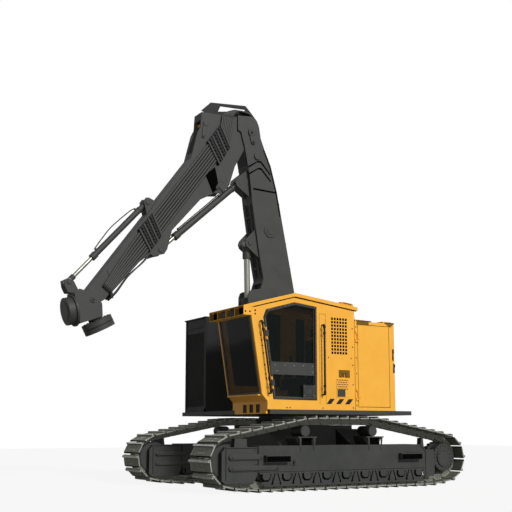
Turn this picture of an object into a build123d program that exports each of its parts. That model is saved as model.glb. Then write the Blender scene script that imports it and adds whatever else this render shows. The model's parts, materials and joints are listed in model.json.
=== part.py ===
from build123d import *
import os
from math import hypot

# Tracked forestry harvester: house on a swing ring, side cab, boom, stick and wrist.
# Millimetres. The origin is on the ground under the swing axis: +Z is up, the machine
# faces -Y and the cab stands on its +X side. An outline is a list of (y, z) points,
# drawn from the side and pushed along X between two stated planes.

os.makedirs("parts", exist_ok=True)

# ---------------------------------------------------------------- driving dimensions
RUN = 0.3                      # gap between a piece and the seat it turns on
CLEAR = 8.0                    # gap between pieces that move past each other

# tracks
TRACK_X = 1225.0               # centre of a track from the middle of the machine
SHOE_WIDTH = 610.0
SHOE_COUNT = 52
SHOE_THICK = 16.0
GROUSER = 28.0                 # height of the bar on each shoe
LINK_HEIGHT = 88.0             # chain rail to the back of the shoe
LINK_WIDTH = 190.0
CHAIN = LINK_HEIGHT + SHOE_THICK + GROUSER
WHEEL_Y, WHEEL_Z = 2000.0, 440.0   # idler in front, sprocket behind
BELT_R = 268.0                 # chain rail radius round idler and sprocket
BELT_GAP = 18.0                # rail to wheel, taken up by the straight links
IDLER_WIDTH = 190.0
TOOTH_COUNT, TOOTH = 21, 16.0
SPROCKET_WIDTH = 80.0
CARRIER_R, CARRIER_Z = 82.0, 866.0
CARRIER_YS = (-673.0, 598.0)
ROLLER_R = 90.0
ROLLER_COUNT, ROLLER_FIRST, ROLLER_LAST = 9, -1396.0, 1466.0
BEND = 200.0                   # chain past the last roller before it rises

# track frames
FRAME_HALF = 200.0             # half the width of a track frame
BEAM_LOW, BEAM_HIGH = 270.0, 655.0
BEAM_FRONT, BEAM_REAR = -1523.0, 1638.0
BEAM_WALL = 27.0
YOKE_FRONT = -2122.0
YOKE_CHEEK = 82.0              # each side of the idler yoke
GUARD_LOW, GUARD_THICK = 75.0, 20.0
GUARD_RAIL = 24.0              # strip left below the guard's openings
HANGER_HALF, HANGER_THICK, HANGER_BACK = 55.0, 18.0, 4.0   # brackets that hold the bottom rollers
DRUM_R, DRUM_SHIFT = 218.0, 30.0   # final drive drum, and how far behind the sprocket
CAP_R, CAP_DEEP = 150.0, 22.0
RIB_PROUD, RIB_HIGH = 14.0, 85.0
STEP_DEEP, STEP_LOW, STEP_HIGH = 85.0, 422.0, 520.0
STEP_SPANS = ((-1432.0, -1019.0), (1063.0, 1484.0))

# car body and swing ring
BODY_HALF_X, BODY_HALF_Y = 620.0, 760.0
BODY_LOW, BODY_HIGH = 480.0, 960.0
ARM_SPANS = ((-900.0, -430.0), (430.0, 900.0))
RING_R, RING_TOP = 600.0, 1050.0
RACE_R = 560.0

# deck
DECK_LOW, DECK_TOP = 1115.0, 1180.0
DECK_X = 1437.0
DECK_FRONT, DECK_REAR = -1330.0, 1340.0

# cab
CAB_LEFT, CAB_RIGHT = 1437.0, 401.0
CAB_REAR = 228.0
WALL = 60.0
FASCIA = 12.0                  # how far the door and the roof edge stand out from the side
SILL = (-1460.0, 1400.0)       # foot of the windscreen, as (y, z)
TOE_Y, TOE_Z = -1368.0, 1300.0
APRON_LOW, APRON_THICK = 1118.0, 30.0  # sheet that hangs in front of the deck
APRON_OPENING, APRON_PITCH, APRON_WIDTH = 686.0, 190.0, 142.0
BROW = (-1640.0, 2540.0)       # head of the windscreen
RIDGE = (-889.0, 2871.0)       # highest line of the roof's underside
EAVE_FRONT, EAVE_REAR = (-1700.0, 2650.0), (282.0, 2733.0)
ROOF_THICK = 54.0
GLASS = 8.0
VISOR_FRONT, VISOR_DEEP = -1787.0, 6.0
VENT_PITCH, VENT_HOLE = 52.5, 36.0
FLOOR_THICK = 50.0

# hoods, cooler and counterweight
SKIN = 6.0
HOOD_REAR, HOOD_TOP = 1030.0, 2570.0
HOOD_CHAMFER, CHAMFER_IN = 70.0, 20.0    # the corner cut along the side and across the rear
ENGINE_FRONT = 430.0
COOLER_LEFT, COOLER_RIGHT = -676.0, -1434.0
COOLER_FRONT, COOLER_TOP = -1269.0, 2775.0
GRILLE_THICK = 30.0
WEIGHT_HALF, WEIGHT_TOP = 800.0, 2050.0

# doors
PANEL_EDGE = 50.0              # hood left round each service door
HINGE_R, HINGE_PIN, HINGE_LONG = 14.0, 7.0, 90.0
HINGE_OUT = 16.0               # hinge axis from the face it stands on
DOOR_BAND = 38.0               # width of the cab door's frame

# arm pins, as (y, z)
ARM_X = -140.0                 # middle plane of boom and stick
FOOT = (70.0, 1930.0)
LIFT_FOOT = (-760.0, 1450.0)
LIFT_EYE = (-810.0, 3965.0)
ELBOW = (-816.0, 5865.0)
CROWD_FOOT = (-985.0, 4985.0)
CROWD_EYE = (-2443.0, 3676.0)
TILT_FOOT = (-2656.0, 4426.0)
TILT_EYE = (-3895.0, 3055.0)
WRIST = (-3545.0, 2808.0)
SPARE_PIN, LUG_PIN = (-1674.0, 5873.0), (-1340.0, 4958.0)
FOOT_PIN, ELBOW_PIN, WRIST_PIN, EYE_PIN = 70.0, 58.0, 45.0, 40.0
HEAD_THICK, HEAD_STEP = 14.0, 12.0     # pin heads outside the plates

BOOM_HALF = 165.0              # half the width of the boom
PLATE = 25.0
PIPE_R, PIPE_START = 12.0, 72.0         # boom pipes, and where they leave the boom's foot
STICK_HALF = BOOM_HALF - PLATE - CLEAR
WRIST_HALF = BOOM_HALF
FOOT_HALF, TILT_HALF = 62.0, 57.0      # half widths of the cylinders' eyes
LIFT_HALF, CROWD_HALF = 92.0, 82.0     # rod eyes whose lugs let the barrel in between
LUG_THICK = 30.0
EAR_IN, EAR_THICK = TILT_HALF + CLEAR, 25.0


# ---------------------------------------------------------------- drawing helpers
def slab(points, x_low, x_high, mode=Mode.ADD):
    """Push a side outline from x_low to x_high inside the part being built."""
    with BuildSketch(Plane.YZ.offset(x_low)) as outline:
        with BuildLine():
            Polyline(*points, close=True)
        make_face()
    extrude(outline.sketch, amount=x_high - x_low, mode=mode)


def block(x, y, z, mode=Mode.ADD):
    """A box from three pairs of limits, in either order."""
    centre = tuple((first + last) / 2 for first, last in (x, y, z))
    with Locations(centre):
        Box(abs(x[1] - x[0]), abs(y[1] - y[0]), abs(z[1] - z[0]), mode=mode)


def cross_round(at, radius, x_first, x_last, mode=Mode.ADD):
    """A round bar along X through the side point at."""
    with BuildSketch(Plane.YZ.offset(min(x_first, x_last))) as disc:
        with Locations(at):
            Circle(radius)
    extrude(disc.sketch, amount=abs(x_last - x_first), mode=mode)


def side_round(start, end, radius, x=ARM_X, mode=Mode.ADD):
    """A round bar in the plane x between two side points."""
    first, last = Vector(x, *start), Vector(x, *end)
    with BuildSketch(Plane(first, z_dir=last - first)) as disc:
        Circle(radius)
    extrude(disc.sketch, amount=(last - first).length, mode=mode)


def upright(at, radius, z_low, z_high):
    """An upright round bar at the plan point at."""
    with BuildSketch(Plane.XY.offset(z_low)) as disc:
        with Locations(at):
            Circle(radius)
    extrude(disc.sketch, amount=z_high - z_low)


def along(start, end, distance, up=0.0):
    """The side point distance from start towards end, moved up to the left of that line."""
    length = hypot(end[0] - start[0], end[1] - start[1])
    ahead = ((end[0] - start[0]) / length, (end[1] - start[1]) / length)
    return (start[0] + distance * ahead[0] - up * ahead[1],
            start[1] + distance * ahead[1] + up * ahead[0])


def pair(inner, outer, centre=ARM_X):
    """Both (x_low, x_high) spans that lie from inner to outer on each side of centre."""
    return ((centre - outer, centre - inner), (centre + inner, centre + outer))


def pin_heads(at, radius, half):
    """A stepped pin head on each outer face, half from the arm's middle plane."""
    for side in (-1, 1):
        face = ARM_X + side * half
        cross_round(at, radius, face, face + side * HEAD_THICK)


def finish(part, name):
    """Label a finished piece and write it."""
    part.label = name
    export_step(part, f"parts/{name}.step")


# ---------------------------------------------------------------- undercarriage
with BuildPart() as car_body:
    block((-BODY_HALF_X, BODY_HALF_X), (-BODY_HALF_Y, BODY_HALF_Y), (BODY_LOW, BODY_HIGH))
    arm_reach = TRACK_X - FRAME_HALF
    for y_low, y_high in ARM_SPANS:
        with BuildSketch(Plane.XZ.offset(-y_high)) as arms:
            with BuildLine():
                Polyline((-arm_reach, BEAM_HIGH), (-BODY_HALF_X, BODY_HIGH - 60),
                         (BODY_HALF_X, BODY_HIGH - 60), (arm_reach, BEAM_HIGH),
                         (arm_reach, BEAM_LOW + 60), (BODY_HALF_X, BODY_LOW - 40),
                         (-BODY_HALF_X, BODY_LOW - 40), (-arm_reach, BEAM_LOW + 60), close=True)
            make_face()
        extrude(arms.sketch, amount=y_high - y_low)
finish(car_body.part, "car_body")

with BuildPart() as swing_ring:
    with BuildSketch(Plane.XY.offset(BODY_HIGH)):
        Circle(RING_R)
    extrude(amount=RING_TOP - BODY_HIGH)
finish(swing_ring.part, "swing_ring")

roller_step = (ROLLER_LAST - ROLLER_FIRST) / (ROLLER_COUNT - 1)
roller_ys = [ROLLER_FIRST + roller_step * i for i in range(ROLLER_COUNT)]
roller_z = ROLLER_R + CHAIN
drum_front = WHEEL_Y + DRUM_SHIFT - DRUM_R
channel_half = FRAME_HALF - BEAM_WALL
hanger_in = channel_half - HANGER_THICK

with BuildPart() as track_frames:
    for side in (-1, 1):
        centre = side * TRACK_X
        x_in, x_out = centre - FRAME_HALF, centre + FRAME_HALF
        slab([(BEAM_FRONT, BEAM_LOW), (BEAM_REAR, BEAM_LOW), (BEAM_REAR, 570),
              (BEAM_REAR - 120, BEAM_HIGH), (BEAM_FRONT, BEAM_HIGH)], x_in, x_out)
        block((centre - channel_half, centre + channel_half), (BEAM_FRONT - 1, BEAM_REAR + 1),
              (BEAM_LOW - 1, roller_z + ROLLER_R + CLEAR), mode=Mode.SUBTRACT)
        front_yoke = [(BEAM_FRONT, BEAM_LOW), (BEAM_FRONT, 640), (-2060, 640), (YOKE_FRONT, 560),
                      (YOKE_FRONT, 173), (-2060, 130), (-1600, 130)]
        rear_yoke = [(BEAM_REAR, 150), (BEAM_REAR, 570), (drum_front - 12, 570),
                     (drum_front - RUN, WHEEL_Z), (drum_front - RUN, 220), (drum_front - 22, 150)]
        for yoke in (front_yoke, rear_yoke):
            slab(yoke, x_in, x_in + YOKE_CHEEK)
            slab(yoke, x_out - YOKE_CHEEK, x_out)
        for x_low in (x_in, x_out - GUARD_THICK):
            slab([(-1500, BEAM_LOW + 1), (-1464, 150), (-1420, GUARD_LOW), (1560, GUARD_LOW),
                  (BEAM_REAR, 150), (BEAM_REAR, BEAM_LOW + 1)], x_low, x_low + GUARD_THICK)
            for y in roller_ys:
                slab([(y - 132, GUARD_LOW + GUARD_RAIL), (y + 132, GUARD_LOW + GUARD_RAIL), (y + 100, 252),
                      (y - 100, 252)], x_low, x_low + GUARD_THICK, mode=Mode.SUBTRACT)
        for x_low, x_high in pair(hanger_in, FRAME_HALF - HANGER_BACK, centre):
            for y in roller_ys:
                block((x_low, x_high), (y - HANGER_HALF, y + HANGER_HALF), (roller_z - 48, BEAM_LOW + 5))
        for y in CARRIER_YS:
            stand_top = CARRIER_Z - CARRIER_R
            slab([(y - 120, BEAM_HIGH), (y + 120, BEAM_HIGH), (y + 165, stand_top - 25),
                  (y + 165, stand_top), (y - 165, stand_top), (y - 165, stand_top - 25)],
                 x_in + 60, x_out - 60)
        face = centre + side * FRAME_HALF
        for y_low, y_high, z in ((-2007, -1463, 495), (-2007, -1183, 340)):
            block((face - side, face + side * RIB_PROUD), (y_low + RIB_HIGH / 2, y_high - RIB_HIGH / 2),
                  (z - RIB_HIGH / 2, z + RIB_HIGH / 2))
            for y in (y_low + RIB_HIGH / 2, y_high - RIB_HIGH / 2):
                cross_round((y, z), RIB_HIGH / 2, face - side, face + side * RIB_PROUD)
        for y_low, y_high in ((-1932, -1700), (BEAM_REAR - 120, BEAM_REAR - 40)):
            slab([(y_low, 560), (y_high, 560), (y_high - 20, 757), (y_low + 20, 757)],
                 centre + side * (LINK_WIDTH / 2 + 12), centre + side * FRAME_HALF)
finish(track_frames.part, "track_frames")

with BuildPart() as track_steps:
    for side in (-1, 1):
        face = side * (TRACK_X + FRAME_HALF)
        for y_low, y_high in STEP_SPANS:
            block((face, face + side * STEP_DEEP), (y_low, y_high), (STEP_LOW, STEP_HIGH))
            block((face - side, face + side * (STEP_DEEP - SKIN)), (y_low + SKIN, y_high - SKIN),
                  (STEP_LOW + SKIN, STEP_HIGH - SKIN), mode=Mode.SUBTRACT)
finish(track_steps.part, "track_steps")

# The chain's pin line is the hull of its wheels; each link is one straight chord of it.
belt_wheels = ((-WHEEL_Y, WHEEL_Z, BELT_R), (WHEEL_Y, WHEEL_Z, BELT_R),
               (CARRIER_YS[0], CARRIER_Z, CARRIER_R + 10), (CARRIER_YS[1], CARRIER_Z, CARRIER_R + 10),
               (ROLLER_FIRST - BEND, roller_z, ROLLER_R), (ROLLER_LAST + BEND, roller_z, ROLLER_R))
with BuildSketch() as pin_line:
    for y, z, radius in belt_wheels:
        with Locations((y, z)):
            Circle(radius + LINK_HEIGHT / 2)
    make_hull()
pin_wire = pin_line.sketch.face().outer_wire()
pins = [pin_wire.position_at(i / SHOE_COUNT) for i in range(SHOE_COUNT)]
middle = sum(pins, Vector()) * (1 / SHOE_COUNT)
turn = 1 if (pins[0] - middle).cross(pins[1] - middle).Z > 0 else -1


def outward(index):
    """The direction away from the loop across the chord that starts at a pin."""
    chord = (pins[(index + 1) % SHOE_COUNT] - pins[index % SHOE_COUNT]).normalized()
    return Vector(chord.Y, -chord.X) * turn


def loop_at(height):
    """The loop's pins, moved outwards by height."""
    corners = [pin + (outward(i) + outward(i - 1)).normalized() * height for i, pin in enumerate(pins)]
    return [(corner.X, corner.Y) for corner in corners]


shoe_line = []
for i, pin in enumerate(pins):
    step = pins[(i + 1) % SHOE_COUNT] - pin
    back = pin + outward(i) * (LINK_HEIGHT / 2 + SHOE_THICK)
    for forward, height in ((0.04, 0), (0.09, GROUSER), (0.21, GROUSER), (0.26, 0), (0.96, 0)):
        corner = back + step * forward + outward(i) * height
        shoe_line.append((corner.X, corner.Y))

for side, name in ((1, "track_left"), (-1, "track_right")):
    with BuildPart() as track:
        for width, line, low in ((SHOE_WIDTH, shoe_line, LINK_HEIGHT / 2 - 2),
                                 (LINK_WIDTH, loop_at(LINK_HEIGHT / 2), -LINK_HEIGHT / 2)):
            with BuildSketch(Plane.YZ.offset(side * TRACK_X - width / 2)) as loop:
                with BuildLine():
                    Polyline(*line, close=True)
                make_face()
                with BuildLine():
                    Polyline(*loop_at(low), close=True)
                make_face(mode=Mode.SUBTRACT)
            extrude(loop.sketch, amount=width)
    finish(track.part, name)

with BuildPart() as idlers:
    for side in (-1, 1):
        centre, half = side * TRACK_X, IDLER_WIDTH / 2
        cross_round((-WHEEL_Y, WHEEL_Z), BELT_R - BELT_GAP, centre - half, centre + half)
        for face in (-1, 1):
            rim = centre + face * half
            cross_round((-WHEEL_Y, WHEEL_Z), BELT_R - BELT_GAP - 45, rim - face * 30, rim + face,
                        Mode.SUBTRACT)
            cross_round((-WHEEL_Y, WHEEL_Z), 95, rim - face * 31, centre + face * (FRAME_HALF - YOKE_CHEEK))
finish(idlers.part, "idlers")

with BuildPart() as sprockets:
    for side in (-1, 1):
        half = SPROCKET_WIDTH / 2
        with BuildSketch(Plane.YZ.offset(side * TRACK_X - half)) as wheel:
            with Locations((WHEEL_Y, WHEEL_Z)):
                Circle(BELT_R - BELT_GAP - TOOTH)
                with PolarLocations(BELT_R - BELT_GAP - TOOTH, TOOTH_COUNT):
                    Rectangle(2 * TOOTH, 34)
        extrude(wheel.sketch, amount=SPROCKET_WIDTH)
finish(sprockets.part, "sprockets")

with BuildPart() as final_drives:
    for side in (-1, 1):
        near, far = side * (TRACK_X + SPROCKET_WIDTH / 2), side * (TRACK_X + FRAME_HALF)
        cross_round((WHEEL_Y + DRUM_SHIFT, WHEEL_Z), DRUM_R, near, far - side * CAP_DEEP)
        cross_round((WHEEL_Y + DRUM_SHIFT, WHEEL_Z), CAP_R, far - side * (CAP_DEEP + 1), far)
        near, far = side * (TRACK_X - SPROCKET_WIDTH / 2), side * (TRACK_X - FRAME_HALF)
        cross_round((WHEEL_Y, WHEEL_Z), DRUM_R - 40, near, far)
finish(final_drives.part, "final_drives")

with BuildPart() as carrier_rollers:
    for side in (-1, 1):
        for y in CARRIER_YS:
            for half, radius in ((140, 45), (110, CARRIER_R - RUN)):
                cross_round((y, CARRIER_Z), radius, side * TRACK_X - half, side * TRACK_X + half)
finish(carrier_rollers.part, "carrier_rollers")

with BuildPart() as bottom_rollers:
    for side in (-1, 1):
        for y in roller_ys:
            for half, radius in ((hanger_in - RUN, 45), (135, ROLLER_R - RUN)):
                cross_round((y, roller_z), radius, side * TRACK_X - half, side * TRACK_X + half)
finish(bottom_rollers.part, "bottom_rollers")

# ---------------------------------------------------------------- house
with BuildPart() as deck:
    block((-DECK_X, DECK_X), (DECK_FRONT, DECK_REAR), (DECK_LOW, DECK_TOP))
    with BuildSketch(Plane.XY.offset(RING_TOP + RUN)) as race:
        Circle(RACE_R)
    extrude(race.sketch, amount=DECK_LOW - RING_TOP - RUN)
finish(deck.part, "deck")

tower_in = BOOM_HALF + CLEAR
tower_out = tower_in + 45
with BuildPart() as boom_tower:
    for x_low, x_high in pair(tower_in, tower_out):
        slab([(-940, DECK_TOP), (-940, LIFT_FOOT[1] + 40), (-860, LIFT_FOOT[1] + 130),
              (-650, LIFT_FOOT[1] + 130), (-380, 1500), (FOOT[0] - 230, FOOT[1] - 20),
              (FOOT[0] - 170, FOOT[1] + 140), (FOOT[0] - 60, FOOT[1] + 205), (FOOT[0] + 60, FOOT[1] + 205),
              (FOOT[0] + 160, FOOT[1] + 130), (FOOT[0] + 200, FOOT[1]), (FOOT[0] + 310, DECK_TOP)],
             x_low, x_high)
    block((ARM_X - tower_in, ARM_X + tower_in), (-330, -290), (DECK_TOP, DECK_TOP + 260))
    cross_round(LIFT_FOOT, EYE_PIN, ARM_X - tower_out, ARM_X + tower_out)
    cross_round(FOOT, FOOT_PIN, ARM_X - tower_out, ARM_X + tower_out)
    pin_heads(FOOT, FOOT_PIN + 25, tower_out)
    pin_heads(LIFT_FOOT, EYE_PIN + 20, tower_out)
finish(boom_tower.part, "boom_tower")


def under_roof(y):
    """Height of the roof's underside above the deck line at y."""
    start, end = (EAVE_FRONT, RIDGE) if y < RIDGE[0] else (RIDGE, EAVE_REAR)
    return start[1] + (end[1] - start[1]) * (y - start[0]) / (end[0] - start[0])


cab_side = [(TOE_Y, DECK_TOP), (TOE_Y, TOE_Z), SILL, BROW, (BROW[0], under_roof(BROW[0])), RIDGE,
            (CAB_REAR, under_roof(CAB_REAR)), (CAB_REAR, DECK_TOP)]
door_line = [(-1391, 2646), (-890, 2785), (-485, 2744), (-488, 1320), (-1267, 1325), (-1438, 2529)]
right_window = [(-1520, 2530), (-1380, 2620), (-890, 2750), (-60, 2660), (-60, 1560), (-1370, 1560)]
rear_window_x, rear_window_z = (CAB_RIGHT + 200, CAB_LEFT - 200), (1900, 2500)
cab_inside = (CAB_RIGHT + WALL, CAB_LEFT - WALL)
side_face = CAB_LEFT - FASCIA

with BuildPart() as cab_floor:
    block(cab_inside, (TOE_Y + WALL, CAB_REAR - WALL), (DECK_TOP, DECK_TOP + FLOOR_THICK))
finish(cab_floor.part, "cab_floor")

with BuildPart() as cab_left_side:
    slab(cab_side, CAB_LEFT - WALL, side_face)
    slab(door_line, CAB_LEFT - WALL, side_face, mode=Mode.SUBTRACT)
    with BuildSketch(Plane.YZ.offset(CAB_LEFT - WALL)) as vents:
        with Locations((-65, 2317)):
            with GridLocations(VENT_PITCH, VENT_PITCH, 6, 11):
                Rectangle(VENT_HOLE, VENT_HOLE)
    extrude(vents.sketch, amount=WALL, mode=Mode.SUBTRACT)
    block((side_face - 30, side_face + 1), (-82, 129), (1678, 1793), mode=Mode.SUBTRACT)
    block((side_face, side_face + 5), (-128, 100), (1372, 1659))
    # hinge pin of the door between two knuckles, along the slanted post
    hinge_low, hinge_high = door_line[4], door_line[5]
    hinge_x = CAB_LEFT + HINGE_OUT
    for share in (0.2, 0.8):
        at = (hinge_high[0] - hinge_low[0]) * share + hinge_low[0], \
             (hinge_high[1] - hinge_low[1]) * share + hinge_low[1]
        side_round(along(at, hinge_high, -HINGE_LONG), along(at, hinge_high, HINGE_LONG), HINGE_PIN,
                   x=hinge_x)
        for first, last in ((-HINGE_LONG, -HINGE_LONG / 2 - RUN), (HINGE_LONG / 2 + RUN, HINGE_LONG)):
            side_round(along(at, hinge_high, first), along(at, hinge_high, last), HINGE_R, x=hinge_x)
            slab([along(at, hinge_high, first, 0), along(at, hinge_high, last, 0),
                  along(at, hinge_high, last, 45), along(at, hinge_high, first, 45)],
                 side_face, hinge_x - HINGE_PIN - 2)
finish(cab_left_side.part, "cab_left_side")

with BuildPart() as cab_right_side:
    slab(cab_side, CAB_RIGHT, CAB_RIGHT + WALL)
    slab(right_window, CAB_RIGHT, CAB_RIGHT + WALL, mode=Mode.SUBTRACT)
finish(cab_right_side.part, "cab_right_side")

with BuildPart() as cab_rear:
    rear_top = under_roof(CAB_REAR)
    block(cab_inside, (CAB_REAR - WALL, CAB_REAR), (DECK_TOP, rear_top))
    block(rear_window_x, (CAB_REAR - WALL - 1, CAB_REAR + 1), rear_window_z, mode=Mode.SUBTRACT)
finish(cab_rear.part, "cab_rear")

shelf_low = along(SILL, (TOE_Y, TOE_Z), 30)
with BuildPart() as cab_front:
    slab([(TOE_Y, DECK_TOP), (TOE_Y, TOE_Z), shelf_low, (SILL[0] - 40, shelf_low[1]), (SILL[0] - 40, SILL[1]),
          (SILL[0] + 40, SILL[1]), (TOE_Y + WALL, TOE_Z - 40), (TOE_Y + WALL, DECK_TOP)], *cab_inside)
    slab([BROW, (BROW[0], under_roof(BROW[0])), (BROW[0] + WALL, under_roof(BROW[0] + WALL)),
          (BROW[0] + WALL, BROW[1] + 10)], *cab_inside)
    block(cab_inside, (TOE_Y, TOE_Y + APRON_THICK), (APRON_LOW, DECK_TOP + 1))
    for i in range(3):
        x_low = APRON_OPENING + i * APRON_PITCH
        block((x_low, x_low + APRON_WIDTH), (TOE_Y - 1, TOE_Y + APRON_THICK - 8), (APRON_LOW + 18, 1259),
              mode=Mode.SUBTRACT)
finish(cab_front.part, "cab_front")

with BuildPart() as cab_roof:
    slab([EAVE_FRONT, RIDGE, EAVE_REAR, (EAVE_REAR[0], EAVE_REAR[1] + ROOF_THICK),
          (RIDGE[0], RIDGE[1] + ROOF_THICK), (EAVE_FRONT[0], EAVE_FRONT[1] + ROOF_THICK)],
         CAB_RIGHT - FASCIA, CAB_LEFT + FASCIA)
    block((CAB_RIGHT + 260, CAB_LEFT - 260), (-120, 180), (EAVE_REAR[1] + 20, EAVE_REAR[1] + ROOF_THICK + 45))
finish(cab_roof.part, "cab_roof")

visor_top = EAVE_FRONT[1] + ROOF_THICK
with BuildPart() as visor:
    box_side = [(VISOR_FRONT, BROW[1]), (BROW[0], BROW[1]), (BROW[0], under_roof(BROW[0]) - RUN),
                (EAVE_FRONT[0] - RUN, EAVE_FRONT[1] - RUN), (EAVE_FRONT[0] - RUN, visor_top),
                (VISOR_FRONT, visor_top - 24)]
    slab(box_side, CAB_RIGHT - FASCIA, CAB_LEFT + FASCIA)
    bay = (CAB_LEFT - CAB_RIGHT + 2 * FASCIA) / 4
    for i in range(4):
        x_low = CAB_RIGHT - FASCIA + i * bay + VISOR_DEEP
        block((x_low, x_low + bay - 2 * VISOR_DEEP), (VISOR_FRONT - 1, EAVE_FRONT[0] - 12),
              (BROW[1] + VISOR_DEEP, visor_top - 34), mode=Mode.SUBTRACT)
finish(visor.part, "visor")

with BuildPart() as lamps:
    for i in (1, 2):
        x_mid = CAB_RIGHT - FASCIA + (i + 0.5) * bay
        block((x_mid - 70, x_mid + 70), (EAVE_FRONT[0] - 52, EAVE_FRONT[0] - 12),
              (BROW[1] + 25, BROW[1] + 105))
finish(lamps.part, "lamps")

with BuildPart() as windshield:
    slab([SILL, along(SILL, BROW, 0, -GLASS), along(BROW, SILL, 0, GLASS), BROW], *cab_inside)
finish(windshield.part, "windshield")

with BuildPart() as cab_windows:
    slab(right_window, CAB_RIGHT + 20, CAB_RIGHT + 20 + GLASS)
    block(rear_window_x, (CAB_REAR - 30, CAB_REAR - 30 + GLASS), rear_window_z)
finish(cab_windows.part, "cab_windows")

seat_x = (CAB_LEFT + CAB_RIGHT) / 2
floor_z = DECK_TOP + FLOOR_THICK
SEAT_LOW, CUSHION, BACK_TOP = 1560.0, 130.0, 2330.0
with BuildPart() as seat_base:
    block((seat_x - 170, seat_x + 170), (-580, -220), (floor_z, SEAT_LOW - 60))
    block((seat_x - 240, seat_x + 240), (-680, -160), (SEAT_LOW - 60, SEAT_LOW))
    block((seat_x - 180, seat_x + 180), (-110, -60), (SEAT_LOW - 60, BACK_TOP - 80))
    block((seat_x - 180, seat_x + 180), (-162, -60), (SEAT_LOW - 60, SEAT_LOW))
finish(seat_base.part, "seat_base")

with BuildPart() as seat_cushions:
    block((seat_x - 250, seat_x + 250), (-700, -190), (SEAT_LOW + RUN, SEAT_LOW + CUSHION))
    block((seat_x - 240, seat_x + 240), (-240, -110 - RUN), (SEAT_LOW + CUSHION + RUN, BACK_TOP))
    block((seat_x - 130, seat_x + 130), (-215, -110 - RUN), (BACK_TOP + RUN, BACK_TOP + 170))
finish(seat_cushions.part, "seat_cushions")

with BuildPart() as arm_pods:
    for side in (-1, 1):
        inner, outer = seat_x + side * 262, seat_x + side * 372
        block((inner, outer), (-900, -330), (1780, 1850))
        block((seat_x + side * 240, outer), (-520, -420), (SEAT_LOW - 55, SEAT_LOW - 5))
        block((inner + side * 20, outer - side * 20), (-520, -420), (SEAT_LOW - 55, 1781))
        upright((seat_x + side * 317, -830), 22, 1849, 1990)
    block((seat_x + 330, seat_x + 372), (-1130, -900), (1800, 1830))
    block((seat_x + 290, seat_x + 372), (-1160, -1125), (1780, 2040))
finish(arm_pods.part, "arm_pods")

# ---------------------------------------------------------------- hoods, cooler, counterweight
def service_panel(x_face, front, rear):
    """The opening of a service door as limits in x, y and z, cut through a side at x_face."""
    inward = -1 if x_face > 0 else 1
    return ((x_face, x_face + inward * SKIN), (front + PANEL_EDGE, rear - PANEL_EDGE - HOOD_CHAMFER),
            (DECK_TOP + PANEL_EDGE, HOOD_TOP - PANEL_EDGE))


def shell(x, y, z):
    """A sheet box open below, its rear corner at x[1] cut off upright."""
    inward = CHAMFER_IN if x[1] > x[0] else -CHAMFER_IN
    plan = [(x[0], y[0]), (x[0], y[1]), (x[1] - inward, y[1]), (x[1], y[1] - HOOD_CHAMFER), (x[1], y[0])]
    for skin, z_low, mode in ((0, z[0], Mode.ADD), (SKIN, z[0] - SKIN, Mode.SUBTRACT)):
        with BuildSketch(Plane.XY.offset(z_low)) as outline:
            with BuildLine():
                Polyline(*plan, close=True)
            make_face()
            if skin:
                offset(amount=-skin, kind=Kind.INTERSECTION, mode=Mode.REPLACE)
        extrude(outline.sketch, amount=z[1] - z[0], mode=mode)


left_panel = service_panel(CAB_LEFT, CAB_REAR, HOOD_REAR)
right_panel = service_panel(-DECK_X, ENGINE_FRONT, HOOD_REAR)


def hinge_house(panel, outward_side):
    """Pins and knuckles that carry a service door along its front edge."""
    x_axis = panel[0][0] + outward_side * HINGE_OUT
    for share in (0.15, 0.85):
        z = panel[2][0] + (panel[2][1] - panel[2][0]) * share
        y = panel[1][0]
        upright((x_axis, y), HINGE_PIN, z - HINGE_LONG, z + HINGE_LONG)
        for first, last in ((-HINGE_LONG, -HINGE_LONG / 2 - RUN), (HINGE_LONG / 2 + RUN, HINGE_LONG)):
            upright((x_axis, y), HINGE_R, z + first, z + last)
            block((panel[0][0], x_axis), (y - 40, y), (z + first, z + last))


def hinge_leaf(panel, outward_side):
    """Sleeves of a service door round the pins of its hinge."""
    x_axis = panel[0][0] + outward_side * HINGE_OUT
    for share in (0.15, 0.85):
        z = panel[2][0] + (panel[2][1] - panel[2][0]) * share
        y = panel[1][0]
        upright((x_axis, y), HINGE_R, z - HINGE_LONG / 2, z + HINGE_LONG / 2)
        block((panel[0][0] - outward_side, x_axis), (y, y + 40), (z - HINGE_LONG / 2, z + HINGE_LONG / 2))
        with BuildSketch(Plane.XY.offset(z - HINGE_LONG)) as bore:
            with Locations((x_axis, y)):
                Circle(HINGE_PIN + RUN)
        extrude(bore.sketch, amount=2 * HINGE_LONG, mode=Mode.SUBTRACT)


with BuildPart() as rear_hood:
    shell((CAB_RIGHT, CAB_LEFT), (CAB_REAR, HOOD_REAR), (DECK_TOP, HOOD_TOP))
    block((left_panel[0][0] + 1, left_panel[0][1] - 1), left_panel[1], left_panel[2], mode=Mode.SUBTRACT)
    hinge_house(left_panel, 1)
    for y_low, y_high in ((245, 420), (790, 960)):
        block((CAB_LEFT - 330, CAB_LEFT - 4), (y_low, y_high), (HOOD_TOP, HOOD_TOP + 26))
finish(rear_hood.part, "rear_hood")

with BuildPart() as service_door:
    block(left_panel[0], (left_panel[1][0] + CLEAR, left_panel[1][1] - CLEAR),
          (left_panel[2][0] + CLEAR, left_panel[2][1] - CLEAR))
    hinge_leaf(left_panel, 1)
finish(service_door.part, "service_door")

with BuildPart() as engine_hood:
    shell((CAB_RIGHT, -DECK_X), (ENGINE_FRONT, HOOD_REAR), (DECK_TOP, HOOD_TOP))
    block((right_panel[0][0] - 1, right_panel[0][1] + 1), right_panel[1], right_panel[2], mode=Mode.SUBTRACT)
    hinge_house(right_panel, -1)
finish(engine_hood.part, "engine_hood")

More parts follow.
